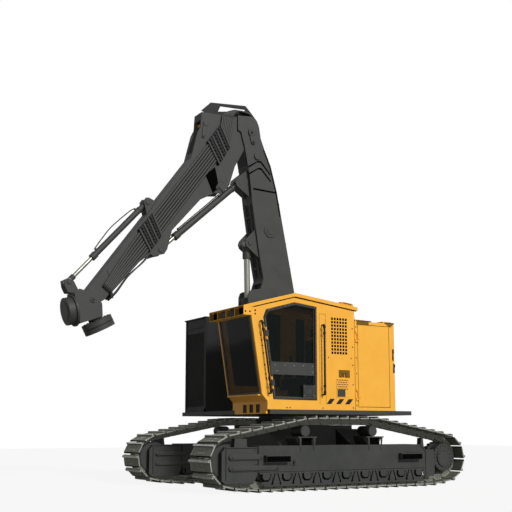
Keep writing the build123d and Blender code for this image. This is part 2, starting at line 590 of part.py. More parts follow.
with BuildPart() as engine_door:
    block(right_panel[0], (right_panel[1][0] + CLEAR, right_panel[1][1] - CLEAR),
          (right_panel[2][0] + CLEAR, right_panel[2][1] - CLEAR))
    hinge_leaf(right_panel, -1)
finish(engine_door.part, "engine_door")

with BuildPart() as engine_block:
    block((-950, 250), (ENGINE_FRONT + 50, HOOD_REAR - HOOD_CHAMFER - 50), (DECK_TOP, 2150))
finish(engine_block.part, "engine_block")

with BuildPart() as cooler_module:
    block((COOLER_RIGHT, COOLER_LEFT), (COOLER_FRONT + GRILLE_THICK, ENGINE_FRONT), (DECK_TOP, COOLER_TOP))
    block((COOLER_RIGHT + SKIN, COOLER_LEFT - SKIN), (COOLER_FRONT + GRILLE_THICK - 1, ENGINE_FRONT - SKIN),
          (DECK_TOP - 1, COOLER_TOP - SKIN), mode=Mode.SUBTRACT)
finish(cooler_module.part, "cooler_module")

with BuildPart() as cooler_grille:
    block((COOLER_RIGHT, COOLER_LEFT), (COOLER_FRONT, COOLER_FRONT + GRILLE_THICK), (DECK_TOP, COOLER_TOP))
    block((COOLER_RIGHT + 50, COOLER_LEFT - 50), (COOLER_FRONT - 1, COOLER_FRONT + 12),
          (DECK_TOP + 90, COOLER_TOP - 260), mode=Mode.SUBTRACT)
    block((COOLER_RIGHT - 25, COOLER_LEFT + 10), (COOLER_FRONT - 25, COOLER_FRONT),
          (COOLER_TOP - 20, COOLER_TOP))
finish(cooler_grille.part, "cooler_grille")

with BuildPart() as counterweight:
    block((-WEIGHT_HALF, WEIGHT_HALF), (HOOD_REAR, DECK_REAR), (DECK_TOP, WEIGHT_TOP))
    fillet(edges().filter_by(Axis.Z).sort_by(Axis.Y)[-2:], 120)
    fillet(faces().sort_by(Axis.Z)[-1].edges().sort_by(Axis.Y)[-1], 60)
finish(counterweight.part, "counterweight")

with BuildPart() as handrails:
    rail_x = CAB_LEFT + 55
    for start, end in (((-390, 1409), (-390, 2468)), ((-1341, 1412), (-1496, 2462))):
        side_round(start, end, 14, x=rail_x)
        for at in (start, end):
            cross_round(at, 12, side_face, rail_x)
finish(handrails.part, "handrails")

with BuildPart() as exhaust:
    upright((-850, 700), 80, HOOD_TOP, HOOD_TOP + 240)
    upright((-850, 700), 55, HOOD_TOP + 239, HOOD_TOP + 420)
    upright((-300, 700), 130, HOOD_TOP, HOOD_TOP + 170)
finish(exhaust.part, "exhaust")

# ---------------------------------------------------------------- cab door


def door_ring(x_low, x_high, outset, inset):
    """A band along the door's outline, from outset to inset inside it."""
    for gap, mode in ((outset, Mode.ADD), (inset, Mode.SUBTRACT)):
        with BuildSketch(Plane.YZ.offset(x_low)) as outline:
            with BuildLine():
                Polyline(*door_line, close=True)
            make_face()
            offset(amount=-gap, kind=Kind.INTERSECTION, mode=Mode.REPLACE)
        extrude(outline.sketch, amount=x_high - x_low, mode=mode)


door_inner = CAB_LEFT - WALL + 10
leaf_wide = CLEAR + DOOR_BAND - 4
with BuildPart() as door_frame:
    door_ring(door_inner, CAB_LEFT, CLEAR, DOOR_BAND)
    block((CAB_LEFT - 34, CAB_LEFT - 22), (-1310, -510), (1691, 1879))
    block((CAB_LEFT - 34, CAB_LEFT + 4), (-749, -510), (1345, 1549))
    for share in (0.2, 0.8):
        at = (hinge_high[0] - hinge_low[0]) * share + hinge_low[0], \
             (hinge_high[1] - hinge_low[1]) * share + hinge_low[1]
        first, last = along(at, hinge_high, -HINGE_LONG / 2), along(at, hinge_high, HINGE_LONG / 2)
        side_round(first, last, HINGE_R, x=hinge_x)
        slab([first, last, along(at, hinge_high, HINGE_LONG / 2, -leaf_wide),
              along(at, hinge_high, -HINGE_LONG / 2, -leaf_wide)], CAB_LEFT - 1, hinge_x)
        side_round(along(at, hinge_high, -HINGE_LONG), along(at, hinge_high, HINGE_LONG),
                   HINGE_PIN + RUN, x=hinge_x, mode=Mode.SUBTRACT)
finish(door_frame.part, "door_frame")

with BuildPart() as door_glass:
    with BuildSketch(Plane.YZ.offset(door_inner)) as pane:
        with BuildLine():
            Polyline(*door_line, close=True)
        make_face()
        offset(amount=-DOOR_BAND, kind=Kind.INTERSECTION, mode=Mode.REPLACE)
    extrude(pane.sketch, amount=GLASS)
finish(door_glass.part, "door_glass")

# ---------------------------------------------------------------- boom
boom_near, boom_far = ARM_X + BOOM_HALF, ARM_X - BOOM_HALF
boom_inside = (boom_far + PLATE, boom_near - PLATE)
boom_back = [(-554, 5602), (-430, 5334), (-308, 4899), (-223, 4474), (32, 3208), (255, 2050)]
boom_front = [(-577, 3369), (-650, 3751), (-733, 4263), (-790, 4633), (-847, 5118), (-946, 5606)]
foot_round = [(185, 0), (131, -131), (0, -185), (-131, -131), (-185, 0)]
boom_outline = boom_back + [(FOOT[0] + y, FOOT[1] + z) for y, z in foot_round] + [
    (-300, 2450), (-760, 2600), (-871, 2760), (-871, 3072), (-840, 3150), (-789, 3174), (-631, 3204)
] + boom_front + [(-1011, 5844), (-1074, 5868), (-1075, 6118), (-797, 6147), (-706, 6088),
                  (-672, 6012), (-672, 5896)]


def boom_face(z):
    """The (y, z) point of the boom's front face at a height."""
    below = [point for point in boom_front if point[1] <= z][-1]
    above = [point for point in boom_front if point[1] > z][0]
    return (below[0] + (above[0] - below[0]) * (z - below[1]) / (above[1] - below[1]), z)


with BuildPart() as boom:
    slab(boom_outline, boom_far, boom_near)
    slab([(-1200, 6300), (-400, 6300), (-400, 5700), (-560, 5420), (-1000, 5250), (-1200, 5500)],
         *boom_inside, mode=Mode.SUBTRACT)
    slab([(-950, 2300), (-950, 3300), (-560, 3300), (-440, 2800), (-330, 2300)],
         *boom_inside, mode=Mode.SUBTRACT)
    cross_round(FOOT, FOOT_PIN + RUN, boom_far - 1, boom_near + 1, mode=Mode.SUBTRACT)
    for pin, low, high, lug_in in ((CROWD_FOOT, 4754, 5212, FOOT_HALF + CLEAR),
                                   (LIFT_EYE, 3730, 4200, LIFT_HALF + CLEAR)):
        foot_low, foot_high = boom_face(low), boom_face(high)
        for x_low, x_high in pair(lug_in, lug_in + LUG_THICK):
            slab([foot_low, (foot_low[0] + 60, low), (foot_high[0] + 60, high), foot_high,
                  (pin[0] - 75, pin[1] + 60), (pin[0] - 95, pin[1]), (pin[0] - 75, pin[1] - 60)],
                 x_low, x_high)
    cross_round(CROWD_FOOT, EYE_PIN, ARM_X - FOOT_HALF - CLEAR - 1, ARM_X + FOOT_HALF + CLEAR + 1)
    pin_heads(LIFT_EYE, EYE_PIN, LIFT_HALF + CLEAR + LUG_THICK)
    cross_round(ELBOW, ELBOW_PIN, boom_far, boom_near)
    for at, radius, proud in ((ELBOW, ELBOW_PIN, HEAD_THICK), ((-702, 5463), 52, HEAD_STEP),
                              ((-438, 4210), 125, 6), ((-438, 4210), 70, 16)):
        pin_heads(at, radius, BOOM_HALF - HEAD_THICK + proud)
    for side in (-1, 1):
        face = ARM_X + side * BOOM_HALF
        slab([(ELBOW[0] - 62, ELBOW[1]), (ELBOW[0] + 62, ELBOW[1]), (ELBOW[0] + 82, ELBOW[1] - 178),
              (ELBOW[0] - 2, ELBOW[1] - 178)], min(face, face + side * 9), max(face, face + side * 9))
finish(boom.part, "boom")

# pipes on the front face, between the lift cylinder's lugs, and the hose run on the back
with BuildPart() as boom_pipes:
    pipe_run = [along(boom_front[0], boom_front[1], PIPE_START, PIPE_R + RUN)]
    for start, end in zip(boom_front[:3], boom_front[1:4]):
        pipe_run.append(along(start, end, hypot(end[0] - start[0], end[1] - start[1]), PIPE_R + RUN))
    for side in (-1, 1):
        pipe_x = ARM_X + side * (LIFT_HALF - PIPE_R - CLEAR)
        with BuildLine() as pipe_line:
            Polyline(*[(pipe_x, y, z) for y, z in pipe_run])
        with BuildSketch(Plane(origin=pipe_line.line @ 0, z_dir=pipe_line.line % 0)):
            Circle(PIPE_R)
        sweep(path=pipe_line.line, transition=Transition.RIGHT)
finish(boom_pipes.part, "boom_pipes")

HOSE_DEEP = 34.0
with BuildPart() as boom_hoses:
    back_run = boom_back[:5]
    outer_run = [(y + HOSE_DEEP, z + 6) for y, z in back_run]
    slab(back_run + outer_run[::-1], ARM_X - 110, ARM_X + 110)
finish(boom_hoses.part, "boom_hoses")

# ---------------------------------------------------------------- stick
stick_near, stick_far = ARM_X + STICK_HALF, ARM_X - STICK_HALF
stick_inside = (stick_far + PLATE, stick_near - PLATE)
STICK_ROOT = (-1932, 5247)                 # where the straight upper edge begins
STICK_END = (-3658, 2892)
HEAD_FRONT, HEAD_CREST, HEAD_REAR = (-1743, 6065), (-860, 6100), (-640, 5980)


def on_stick(reach, up=0.0):
    """The side point reach down the stick's upper edge and up above it."""
    return along(STICK_ROOT, STICK_END, reach, -up)


stick_under = [(413, 540), (1749, 420), (2187, 300), (2790, 290)]
tip_round = [(-45, -132), (-105, -92), (-140, 0), (-113, 84)]
with BuildPart() as stick:
    slab([HEAD_FRONT, HEAD_CREST, HEAD_REAR, (-610, 5820), (-700, 5680), (-927, 5564),
          (-1113, 5234), (-1221, 4892), (-1354, 4743), (-1498, 4723)]
         + [on_stick(reach, -deep) for reach, deep in stick_under]
         + [(WRIST[0] + y, WRIST[1] + z) for y, z in tip_round]
         + [STICK_ROOT, (-1815, 5703), (-1761, 5808)], stick_far, stick_near)
    # fork round the crowd cylinder, slot between the head plates
    slab([(-800, 5560), (-1000, 5330), (-1330, 5180), (-1450, 4950), (-1750, 4640), (-1950, 4250),
          (-700, 4250)], *stick_inside, mode=Mode.SUBTRACT)
    slab([(-1900, 5935), (-1640, 5935), (-1600, 5650), (-1820, 5330), (-2100, 5400)],
         *stick_inside, mode=Mode.SUBTRACT)
    # open underside that the crowd cylinder folds into
    slab([on_stick(380, -640), on_stick(380, -528), on_stick(1440, -325), on_stick(1720, -325),
          on_stick(1720, -640)], *stick_inside, mode=Mode.SUBTRACT)
    cross_round(ELBOW, ELBOW_PIN + RUN, stick_far - 1, stick_near + 1, mode=Mode.SUBTRACT)
    cross_round(WRIST, WRIST_PIN + RUN, stick_far - 1, stick_near + 1, mode=Mode.SUBTRACT)
    for x_low, x_high in pair(CROWD_HALF + CLEAR, STICK_HALF):
        slab([on_stick(1189, -400), on_stick(1189, -472), on_stick(1480, -590), on_stick(1575, -600),
              on_stick(1645, -545), on_stick(1732, -490), on_stick(1739, -400)], x_low, x_high)
    for x_low, x_high in pair(EAR_IN, EAR_IN + EAR_THICK):
        slab([on_stick(985, -5), on_stick(1018, 130), on_stick(1055, 168), on_stick(1120, 165),
              on_stick(1260, -5)], x_low, x_high)
    cross_round(TILT_FOOT, EYE_PIN, ARM_X - EAR_IN, ARM_X + EAR_IN)
    pin_heads(TILT_FOOT, EYE_PIN, EAR_IN + EAR_THICK)
    pin_heads(CROWD_EYE, EYE_PIN, STICK_HALF)
    cross_round(SPARE_PIN, EYE_PIN + 5, stick_far, stick_near)
    for at in (SPARE_PIN, LUG_PIN):
        pin_heads(at, EYE_PIN + 5, STICK_HALF - HEAD_THICK + 4)
finish(stick.part, "stick")

with BuildPart() as hose_guard:
    hoop = [along(HEAD_CREST, HEAD_FRONT, 620), HEAD_CREST, along(HEAD_CREST, HEAD_REAR, 182), (-676, 6218),
            (-840, 6378), (-1513, 6310), (-1683, 6145)]
    slab(hoop, ARM_X - 12, ARM_X + 12)
    slab([(-1375, 6177), (-1328, 6284), (-844, 6313), (-849, 6280)], ARM_X - 13, ARM_X + 13,
         mode=Mode.SUBTRACT)
finish(hose_guard.part, "hose_guard")

HOSE_THICK, CLAMP_THICK = 34.0, 46.0
hose_run = [along(HEAD_CREST, HEAD_FRONT, 540), on_stick(-820, -70), on_stick(0, -90),
            on_stick(1200, -90), on_stick(1700, -110), on_stick(2300, -170), on_stick(2680, -200),
            on_stick(2680, -280), on_stick(1740, -350), on_stick(-250, -370), on_stick(-660, -360),
            along(HEAD_CREST, HEAD_FRONT, 310)]
clamps = (((-845, -37), (-406, -37), (-247, -430), (-661, -398)),
          ((1205, -49), (1587, -29), (1735, -386), (1382, -384)))
with BuildPart() as stick_hoses:
    slab(hose_run, stick_near, stick_near + HOSE_THICK)
finish(stick_hoses.part, "stick_hoses")

with BuildPart() as hose_clamps:
    for corners in clamps:
        slab([on_stick(*corner) for corner in corners], stick_near, stick_near + CLAMP_THICK)
    slab(hose_run, stick_near, stick_near + HOSE_THICK, mode=Mode.SUBTRACT)
finish(hose_clamps.part, "hose_clamps")

# ---------------------------------------------------------------- wrist
DRUM_AXIS = (-0.9738, -0.2272)             # (y, z), forwards and a little down
DRUM_FACE = (-3914.0, 2612.0)
DRUM_FACE_R, DRUM_RIM_R = 208.0, 241.0
DRUM_DEEP, RIM_DEEP = 105.0, 30.0
FLANGE_AXIS = (0.4636, -0.8861)            # (y, z), down and to the rear
FLANGE_MIDDLE = (-3394.8, 2443.3)
FLANGE_R, FLANGE_THICK = 238.0, 159.0
STUB_R, STUB_LONG = 110.0, 75.0
BOLT_RING_R, BOLT_R, BOLT_DEEP, BOLT_COUNT = 190.0, 12.0, 60.0, 12


def behind_drum(depth, up=0.0):
    """The side point depth behind the drum's face and up along it."""
    return (DRUM_FACE[0] - depth * DRUM_AXIS[0] + up * DRUM_AXIS[1],
            DRUM_FACE[1] - depth * DRUM_AXIS[1] - up * DRUM_AXIS[0])


def below_flange(depth):
    """The side point on the flange's axis, depth below its middle."""
    return (FLANGE_MIDDLE[0] + depth * FLANGE_AXIS[0], FLANGE_MIDDLE[1] + depth * FLANGE_AXIS[1])


cheek_top = behind_drum(DRUM_DEEP + RIM_DEEP, 255)
cheek_low = behind_drum(DRUM_DEEP + RIM_DEEP, -215)
with BuildPart() as wrist_bracket:
    for x_low, x_high in pair(WRIST_HALF - PLATE, WRIST_HALF):
        slab([(-3758, 2952), (-3469, 2875), (-3402, 2749), (-3389, 2565), cheek_low, cheek_top],
             x_low, x_high)
    for x_low, x_high in pair(EAR_IN, EAR_IN + EAR_THICK):
        slab([behind_drum(DRUM_DEEP + RIM_DEEP, 180), cheek_top, (-3912, 2893), (-3958, 2981), (-3976, 3078),
              (-3919, 3107), (-3824, 3068), (-3758, 2952), (-3790, 2860)], x_low, x_high)
    slab([cheek_low, (-3389, 2565), (-3396, 2590), (-3712, 2470), (-3790, 2880), cheek_top],
         ARM_X - WRIST_HALF + PLATE, ARM_X + WRIST_HALF - PLATE)
    side_round(below_flange(-FLANGE_THICK / 2 - RUN), below_flange(-FLANGE_THICK / 2 - STUB_LONG), STUB_R)
    cross_round(WRIST, WRIST_PIN, ARM_X - WRIST_HALF, ARM_X + WRIST_HALF)
    pin_heads(WRIST, WRIST_PIN + 5, WRIST_HALF)
    pin_heads(TILT_EYE, EYE_PIN - 4, EAR_IN + EAR_THICK)
finish(wrist_bracket.part, "wrist_bracket")

with BuildPart() as wrist_drum:
    side_round(behind_drum(DRUM_DEEP), DRUM_FACE, DRUM_FACE_R)
    side_round(behind_drum(DRUM_DEEP + RIM_DEEP), behind_drum(DRUM_DEEP), DRUM_RIM_R)
finish(wrist_drum.part, "wrist_drum")

flange_low = Vector(ARM_X, *below_flange(FLANGE_THICK / 2))
with BuildPart() as head_flange:
    side_round(below_flange(-FLANGE_THICK / 2), below_flange(FLANGE_THICK / 2), FLANGE_R)
    with BuildSketch(Plane(flange_low, x_dir=(1, 0, 0), z_dir=(0, *FLANGE_AXIS))) as bolts:
        with PolarLocations(BOLT_RING_R, BOLT_COUNT):
            Circle(BOLT_R)
    extrude(bolts.sketch, amount=-BOLT_DEEP, mode=Mode.SUBTRACT)
finish(head_flange.part, "head_flange")

# ---------------------------------------------------------------- cylinders
# name, barrel pin, rod pin, then measured from the barrel pin: end of the barrel and inner
# end of the rod; barrel radius, rod radius, eye radius, half widths of both eyes
CYLINDERS = (("lift", LIFT_FOOT, LIFT_EYE, 1600.0, 980.0, 92.0, 49.0, 56.0, FOOT_HALF, LIFT_HALF),
             ("crowd", CROWD_FOOT, CROWD_EYE, 1578.0, 560.0, 55.0, 34.0, 60.0, FOOT_HALF, CROWD_HALF),
             ("tilt", TILT_FOOT, TILT_EYE, 1305.0, 520.0, 47.0, 31.0, 58.0, TILT_HALF, TILT_HALF))
NECK_END, BORE_START = 140.0, 150.0
for name, foot, eye, reach, rod_start, barrel_r, rod_r, eye_r, foot_half, eye_half in CYLINDERS:
    with BuildPart() as barrel:
        side_round(foot, along(foot, eye, NECK_END), foot_half - 12)
        side_round(along(foot, eye, NECK_END), along(foot, eye, reach), barrel_r)
        cross_round(foot, eye_r, ARM_X - foot_half, ARM_X + foot_half)
        cross_round(foot, EYE_PIN + RUN, ARM_X - foot_half - 1, ARM_X + foot_half + 1, mode=Mode.SUBTRACT)
        side_round(along(foot, eye, BORE_START), along(foot, eye, reach + 1), rod_r + RUN, mode=Mode.SUBTRACT)
    finish(barrel.part, f"{name}_barrel")
    with BuildPart() as rod:
        side_round(along(foot, eye, rod_start), eye, rod_r)
        cross_round(eye, eye_r, ARM_X - eye_half, ARM_X + eye_half)
        cross_round(eye, EYE_PIN + 1, ARM_X - eye_half - 1, ARM_X + eye_half + 1, mode=Mode.SUBTRACT)
    finish(rod.part, f"{name}_rod")
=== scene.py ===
"""Looks for a tracked forestry harvester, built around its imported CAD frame.

Metres throughout. +Z is up, the machine faces -Y and the cab stands on its +X side.
"""

import json
import logging
import math
from dataclasses import dataclass
from enum import Enum
from typing import Iterable, Sequence

import bmesh
import bpy
from bpy.types import GeometryNodeTree, ID, Material, Mesh, Node, NodeSocket, NodeTree, Object
from mathutils import Matrix, Vector

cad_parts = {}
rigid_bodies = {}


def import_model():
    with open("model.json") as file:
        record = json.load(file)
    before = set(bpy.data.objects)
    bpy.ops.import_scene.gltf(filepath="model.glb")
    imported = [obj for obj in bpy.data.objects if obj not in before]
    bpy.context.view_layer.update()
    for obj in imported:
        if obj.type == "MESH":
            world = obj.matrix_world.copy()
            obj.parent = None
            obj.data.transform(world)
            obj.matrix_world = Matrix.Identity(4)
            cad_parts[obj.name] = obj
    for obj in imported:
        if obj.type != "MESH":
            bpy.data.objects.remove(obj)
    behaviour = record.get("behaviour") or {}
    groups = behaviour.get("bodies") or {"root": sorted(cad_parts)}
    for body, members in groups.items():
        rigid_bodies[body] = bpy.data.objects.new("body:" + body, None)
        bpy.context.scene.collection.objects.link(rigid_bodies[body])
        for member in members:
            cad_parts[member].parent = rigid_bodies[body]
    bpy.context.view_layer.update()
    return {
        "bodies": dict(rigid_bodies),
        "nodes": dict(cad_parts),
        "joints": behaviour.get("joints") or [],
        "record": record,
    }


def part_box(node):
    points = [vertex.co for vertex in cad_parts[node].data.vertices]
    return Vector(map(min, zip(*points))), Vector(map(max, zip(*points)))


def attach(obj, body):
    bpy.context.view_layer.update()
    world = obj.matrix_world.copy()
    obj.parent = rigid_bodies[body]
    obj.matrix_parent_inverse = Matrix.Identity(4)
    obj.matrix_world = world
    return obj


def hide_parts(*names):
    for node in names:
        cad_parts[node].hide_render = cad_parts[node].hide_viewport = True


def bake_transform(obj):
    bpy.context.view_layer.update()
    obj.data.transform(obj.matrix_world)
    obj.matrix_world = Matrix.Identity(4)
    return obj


LOG = logging.getLogger("harvester")
MM = 0.001
ARM = -140.0                         # middle plane of boom and stick, in millimetres
BASE = "undercarriage"
SIDES = ((1, "left"), (-1, "right"))
Point = Sequence[float]
SidePoint = tuple[float, float]


# ------------------------------------------------------------------ nodes and colours
def linear(code: str) -> tuple[float, float, float, float]:
    """Turn an sRGB hex colour into linear light.

    Args:
        code: Colour such as "#F2A93B".

    Returns:
        Linear red, green, blue and an alpha of 1.
    """
    parts = [int(code[i:i + 2], 16) / 255 for i in (1, 3, 5)]
    low = [c / 12.92 if c <= 0.04045 else ((c + 0.055) / 1.055) ** 2.4 for c in parts]
    return (low[0], low[1], low[2], 1.0)


def add(tree: NodeTree, kind: str, links: dict | None = None, **settings) -> Node:
    """Add one node with its settings and links.

    Args:
        tree: Tree that takes the node.
        kind: Blender's name of the node's type.
        links: Socket name or index to the output, or the node's first output, that feeds it, or to
            a plain value.
        settings: Attributes of the node.

    Returns:
        The new node.
    """
    node = tree.nodes.new(kind)
    for key, value in settings.items():
        setattr(node, key, value)
    for key, value in (links or {}).items():
        socket = node.inputs[key]
        if isinstance(value, (Node, NodeSocket)):
            tree.links.new(value.outputs[0] if isinstance(value, Node) else value, socket)
        else:
            socket.default_value = value
    return node


def tint(tree: NodeTree, share, first, second) -> NodeSocket:
    """Mix two colours.

    Args:
        tree: Tree that takes the node.
        share: Output or number that says how much of the second colour.
        first: First colour, as an output or as linear light.
        second: Second colour, in the same way.

    Returns:
        The output that carries the mixed colour.
    """
    return add(tree, "ShaderNodeMix", {0: share, 6: first, 7: second}, data_type="RGBA").outputs[2]


def cleared(owner: ID) -> NodeTree:
    """Switch on the nodes of a material or a world and empty its tree."""
    owner.use_nodes = True
    owner.node_tree.nodes.clear()
    return owner.node_tree


def linked(name: str, data: ID) -> Object:
    """Put a new object with this data into the scene."""
    made = bpy.data.objects.new(name, data)
    bpy.context.collection.objects.link(made)
    return made


def evaluated(made: Object) -> Mesh:
    """The plain mesh that an object's modifiers give."""
    return bpy.data.meshes.new_from_object(made.evaluated_get(bpy.context.evaluated_depsgraph_get()))


def circle(count: int) -> list[tuple[float, float]]:
    """Cosine and sine of evenly spaced turns, once round."""
    return [(math.cos(a), math.sin(a)) for a in (2 * math.pi * k / count for k in range(count))]


class Wear(Enum):
    """How much a finish is rubbed at its edges."""
    NONE = 0.0
    LIGHT = 0.35
    HEAVY = 1.0


class Surface:
    """What all finishes share: each makes its material once, from one shader."""

    def build(self) -> Material:
        """Make the material, or return it if it is already made."""
        made = bpy.data.materials.get(self.name)
        if not made:
            made = bpy.data.materials.new(self.name)
            tree = cleared(made)
            where = add(tree, "ShaderNodeTexCoord").outputs["Object"]
            add(tree, "ShaderNodeOutputMaterial", {"Surface": self.shader(tree, where).outputs["BSDF"]})
        return made


@dataclass(frozen=True)
class Finish(Surface):
    """One finish, from what the real material is and how its surface was made."""
    name: str
    colour: str
    shade: str                       # second colour that the variation runs to
    roughness: float
    metallic: float = 0.0
    cloud_mm: float = 260.0          # size of the uneven patches
    grain_mm: float = 9.0            # size of the surface's own grain, as coarse as it shows
    grain: float = 0.06              # strength of that grain
    wear: Wear = Wear.NONE
    bare: str = "#9A9890"            # what shows where an edge is rubbed
    edge_mm: float = 5.0             # radius that edges read as
    coat: float = 0.0
    shine: float = 0.3               # how much of the sky a flat patch mirrors
    slot: str = "dark_paint"

    def shader(self, tree: NodeTree, where: NodeSocket) -> Node:
        """Add the nodes of this surface and give the shader that ends them."""
        cloud = add(tree, "ShaderNodeTexNoise", {"Vector": where, "Scale": 1 / (self.cloud_mm * MM),
            "Detail": 4.0, "Roughness": 0.6})
        speck = add(tree, "ShaderNodeTexNoise", {"Vector": where, "Scale": 1 / (self.grain_mm * MM),
            "Detail": 2.0})
        spread = add(tree, "ShaderNodeMapRange", {"Value": cloud, "From Min": 0.35, "From Max": 0.7})
        rough = add(tree, "ShaderNodeMapRange", {"Value": cloud, "From Min": 0.3, "From Max": 0.75,
            "To Min": self.roughness - 0.06, "To Max": self.roughness + 0.08})
        soft = add(tree, "ShaderNodeBevel", {"Radius": self.edge_mm * MM}, samples=4)
        bump = add(tree, "ShaderNodeBump", {"Height": speck, "Strength": self.grain,
            "Distance": 0.4 * self.grain_mm * MM, "Normal": soft})
        colour = tint(tree, spread, linear(self.colour), linear(self.shade))
        if self.wear is not Wear.NONE:
            facing = add(tree, "ShaderNodeNewGeometry").outputs["Normal"]
            dot = add(tree, "ShaderNodeVectorMath", {0: facing, 1: soft}, operation="DOT_PRODUCT")
            edge = add(tree, "ShaderNodeMapRange", {"Value": dot.outputs["Value"], "From Min": 0.99,
                "From Max": 0.80, "To Max": self.wear.value})
            broken = add(tree, "ShaderNodeMath", {0: edge, 1: speck}, operation="MULTIPLY")
            more = add(tree, "ShaderNodeMath", {0: broken, 1: 1.7}, operation="MULTIPLY", use_clamp=True)
            colour = tint(tree, more, colour, linear(self.bare))
        return add(tree, "ShaderNodeBsdfPrincipled", {"Base Color": colour, "Roughness": rough,
            "Metallic": self.metallic, "Normal": bump, "Coat Weight": self.coat, "Coat Roughness": 0.25,
            "Specular IOR Level": self.shine})


@dataclass(frozen=True)
class Glazing(Surface):
    """Flat tinted safety glass: dark, clear to look through and sharp in reflection."""
    name: str
    tint: str
    roughness: float = 0.03
    see_through: float = 0.26
    shine: float = 0.12              # the film on the panes kills most of the mirror image
    slot: str = "glass"

    def shader(self, tree: NodeTree, where: NodeSocket) -> Node:
        """Add the nodes of this surface and give the shader that ends them."""
        film = add(tree, "ShaderNodeTexNoise", {"Vector": where, "Scale": 3.0, "Detail": 3.0})
        rough = add(tree, "ShaderNodeMapRange", {"Value": film, "To Min": self.roughness,
            "To Max": self.roughness + 0.06})
        return add(tree, "ShaderNodeBsdfPrincipled", {"Base Color": linear(self.tint), "Roughness": rough,
            "Alpha": 1.0 - self.see_through, "Specular IOR Level": self.shine})


@dataclass(frozen=True)
class Weave(Surface):
    """Woven seat cloth: matt, with a fine over and under of threads."""
    name: str
    colour: str
    shade: str
    thread_mm: float = 5.0           # drawn coarser than the real 1 mm so that it shows
    slot: str = "seat_cover"

    def shader(self, tree: NodeTree, where: NodeSocket) -> Node:
        """Add the nodes of this surface and give the shader that ends them."""
        check = add(tree, "ShaderNodeTexChecker", {"Vector": where, "Scale": 1 / (self.thread_mm * MM),
            "Color1": linear(self.colour), "Color2": linear(self.shade)})
        bump = add(tree, "ShaderNodeBump", {"Height": check.outputs["Fac"], "Strength": 0.4,
            "Distance": 0.8 * MM})
        return add(tree, "ShaderNodeBsdfPrincipled", {"Base Color": check.outputs["Color"], "Roughness": 0.95,
            "Normal": bump, "Sheen Weight": 0.4, "Sheen Roughness": 0.5})


@dataclass(frozen=True)
class Braid(Surface):
    """Rubber hose with a wrapped cover: dull black with fine turns round it."""
    name: str
    colour: str
    slot: str = "hose_rubber"

    def shader(self, tree: NodeTree, where: NodeSocket) -> Node:
        """Add the nodes of this surface and give the shader that ends them."""
        turns = add(tree, "ShaderNodeTexWave", {"Vector": where, "Scale": 12.0, "Distortion": 1.0},
            wave_type="BANDS", bands_direction="Z")
        dust = add(tree, "ShaderNodeTexNoise", {"Vector": where, "Scale": 6.0, "Detail": 4.0})
        tone = tint(tree, dust, linear(self.colour), linear("#383937"))
        bump = add(tree, "ShaderNodeBump", {"Height": turns.outputs["Fac"], "Strength": 0.12,
            "Distance": 1 * MM})
        return add(tree, "ShaderNodeBsdfPrincipled", {"Base Color": tone, "Roughness": 0.62, "Normal": bump})


# Two-part polyurethane machine paint, sprayed: an even satin film with faint orange peel.
YELLOW = Finish("polyurethane_paint_yellow", "#F6B442", "#F0AC38", 0.42, grain_mm=14, grain=0.03, edge_mm=6,
    coat=0.1, slot="yellow_paint")
# The same paint in dark grey: satin, lightly dusted where dirt settles.
GREY = Finish("polyurethane_paint_dark_grey", "#363836", "#3F403E", 0.55, grain_mm=12, grain=0.05,
    wear=Wear.LIGHT, bare="#5C5B57", edge_mm=7)
# Powder-coated sheet: near black, a little rougher than wet paint.
BLACK = Finish("powder_coat_black", "#151615", "#1C1D1C", 0.55, grain_mm=7, grain=0.08, shine=0.25,
    slot="black_paint")
# The inside of deep slots and bays, where no light reaches: dead black, no shine.
RECESS = Finish("unlit_recess_black", "#080808", "#0A0A0A", 0.9, grain=0.0, shine=0.0, slot="black_paint")
# Painted shade on yellow sheet: the dull olive that the yellow shows in shade inside bays and recesses, under
# caps and in seams.
SHADED_YELLOW = Finish("painted_shade_yellow_sheet", "#7E5E20", "#6E5220", 0.7, cloud_mm=60, shine=0.1,
    slot="yellow_paint")
# Forged and hardened track shoes: dull grey green scale, rubbed bright along every edge.
SHOE_STEEL = Finish("forged_steel_shoe", "#6C6E64", "#7A7A6E", 0.5, metallic=0.2, cloud_mm=120, grain_mm=12,
    grain=0.25, wear=Wear.HEAVY, bare="#C9C8BF", edge_mm=9, slot="track_steel")
# The same steel where the ground polishes the bars' tips: bright and smooth.
WORN_STEEL = Finish("forged_steel_polished_tip", "#DEDFDA", "#B4B5AE", 0.38, metallic=0.5, cloud_mm=90,
    grain_mm=12, grain=0.2, slot="track_steel")
# Cast steel wheels and hubs under thin paint: sand-cast grain.
CAST = Finish("cast_steel_dark", "#303230", "#3B3C3A", 0.58, metallic=0.1, grain_mm=10, grain=0.2,
    wear=Wear.LIGHT, bare="#5C5B57", slot="forged_steel")
# Hard chrome on ground bar: bright, with a faint haze of oil.
CHROME = Finish("hard_chrome_rod", "#9DA196", "#8C9086", 0.34, metallic=0.55, grain=0.0, slot="rod_chrome")
# Zinc-plated fasteners: pale grey metal, slightly dull.
ZINC = Finish("zinc_plated_steel", "#8D8E8A", "#7A7B78", 0.4, metallic=0.8, grain_mm=4, grain=0.1,
    slot="forged_steel")
# Cast bronze bushing: warm yellow metal between the stick's plates.
BRONZE = Finish("cast_bronze_bush", "#A87B38", "#8E6630", 0.38, metallic=0.9, slot="forged_steel")
# Moulded ABS trim: fine leather grain, dark.
PLASTIC = Finish("moulded_abs_dark", "#262725", "#2E2F2D", 0.6, grain_mm=6, grain=0.2,
    slot="interior_plastic")
GLASS = Glazing("tinted_safety_glass", "#0F1614", see_through=0.3)
# Lamp lens tinted dark as painted shade, so that it reads as part of the visor's shaded bays.
LENS = Glazing("lamp_lens_painted_shade", "#343736", see_through=0.2, slot="lamp_glass")
CLOTH = Weave("woven_seat_cloth", "#202123", "#2B2C2F")
HOSE = Braid("wrapped_rubber_hose", "#2A2B29")


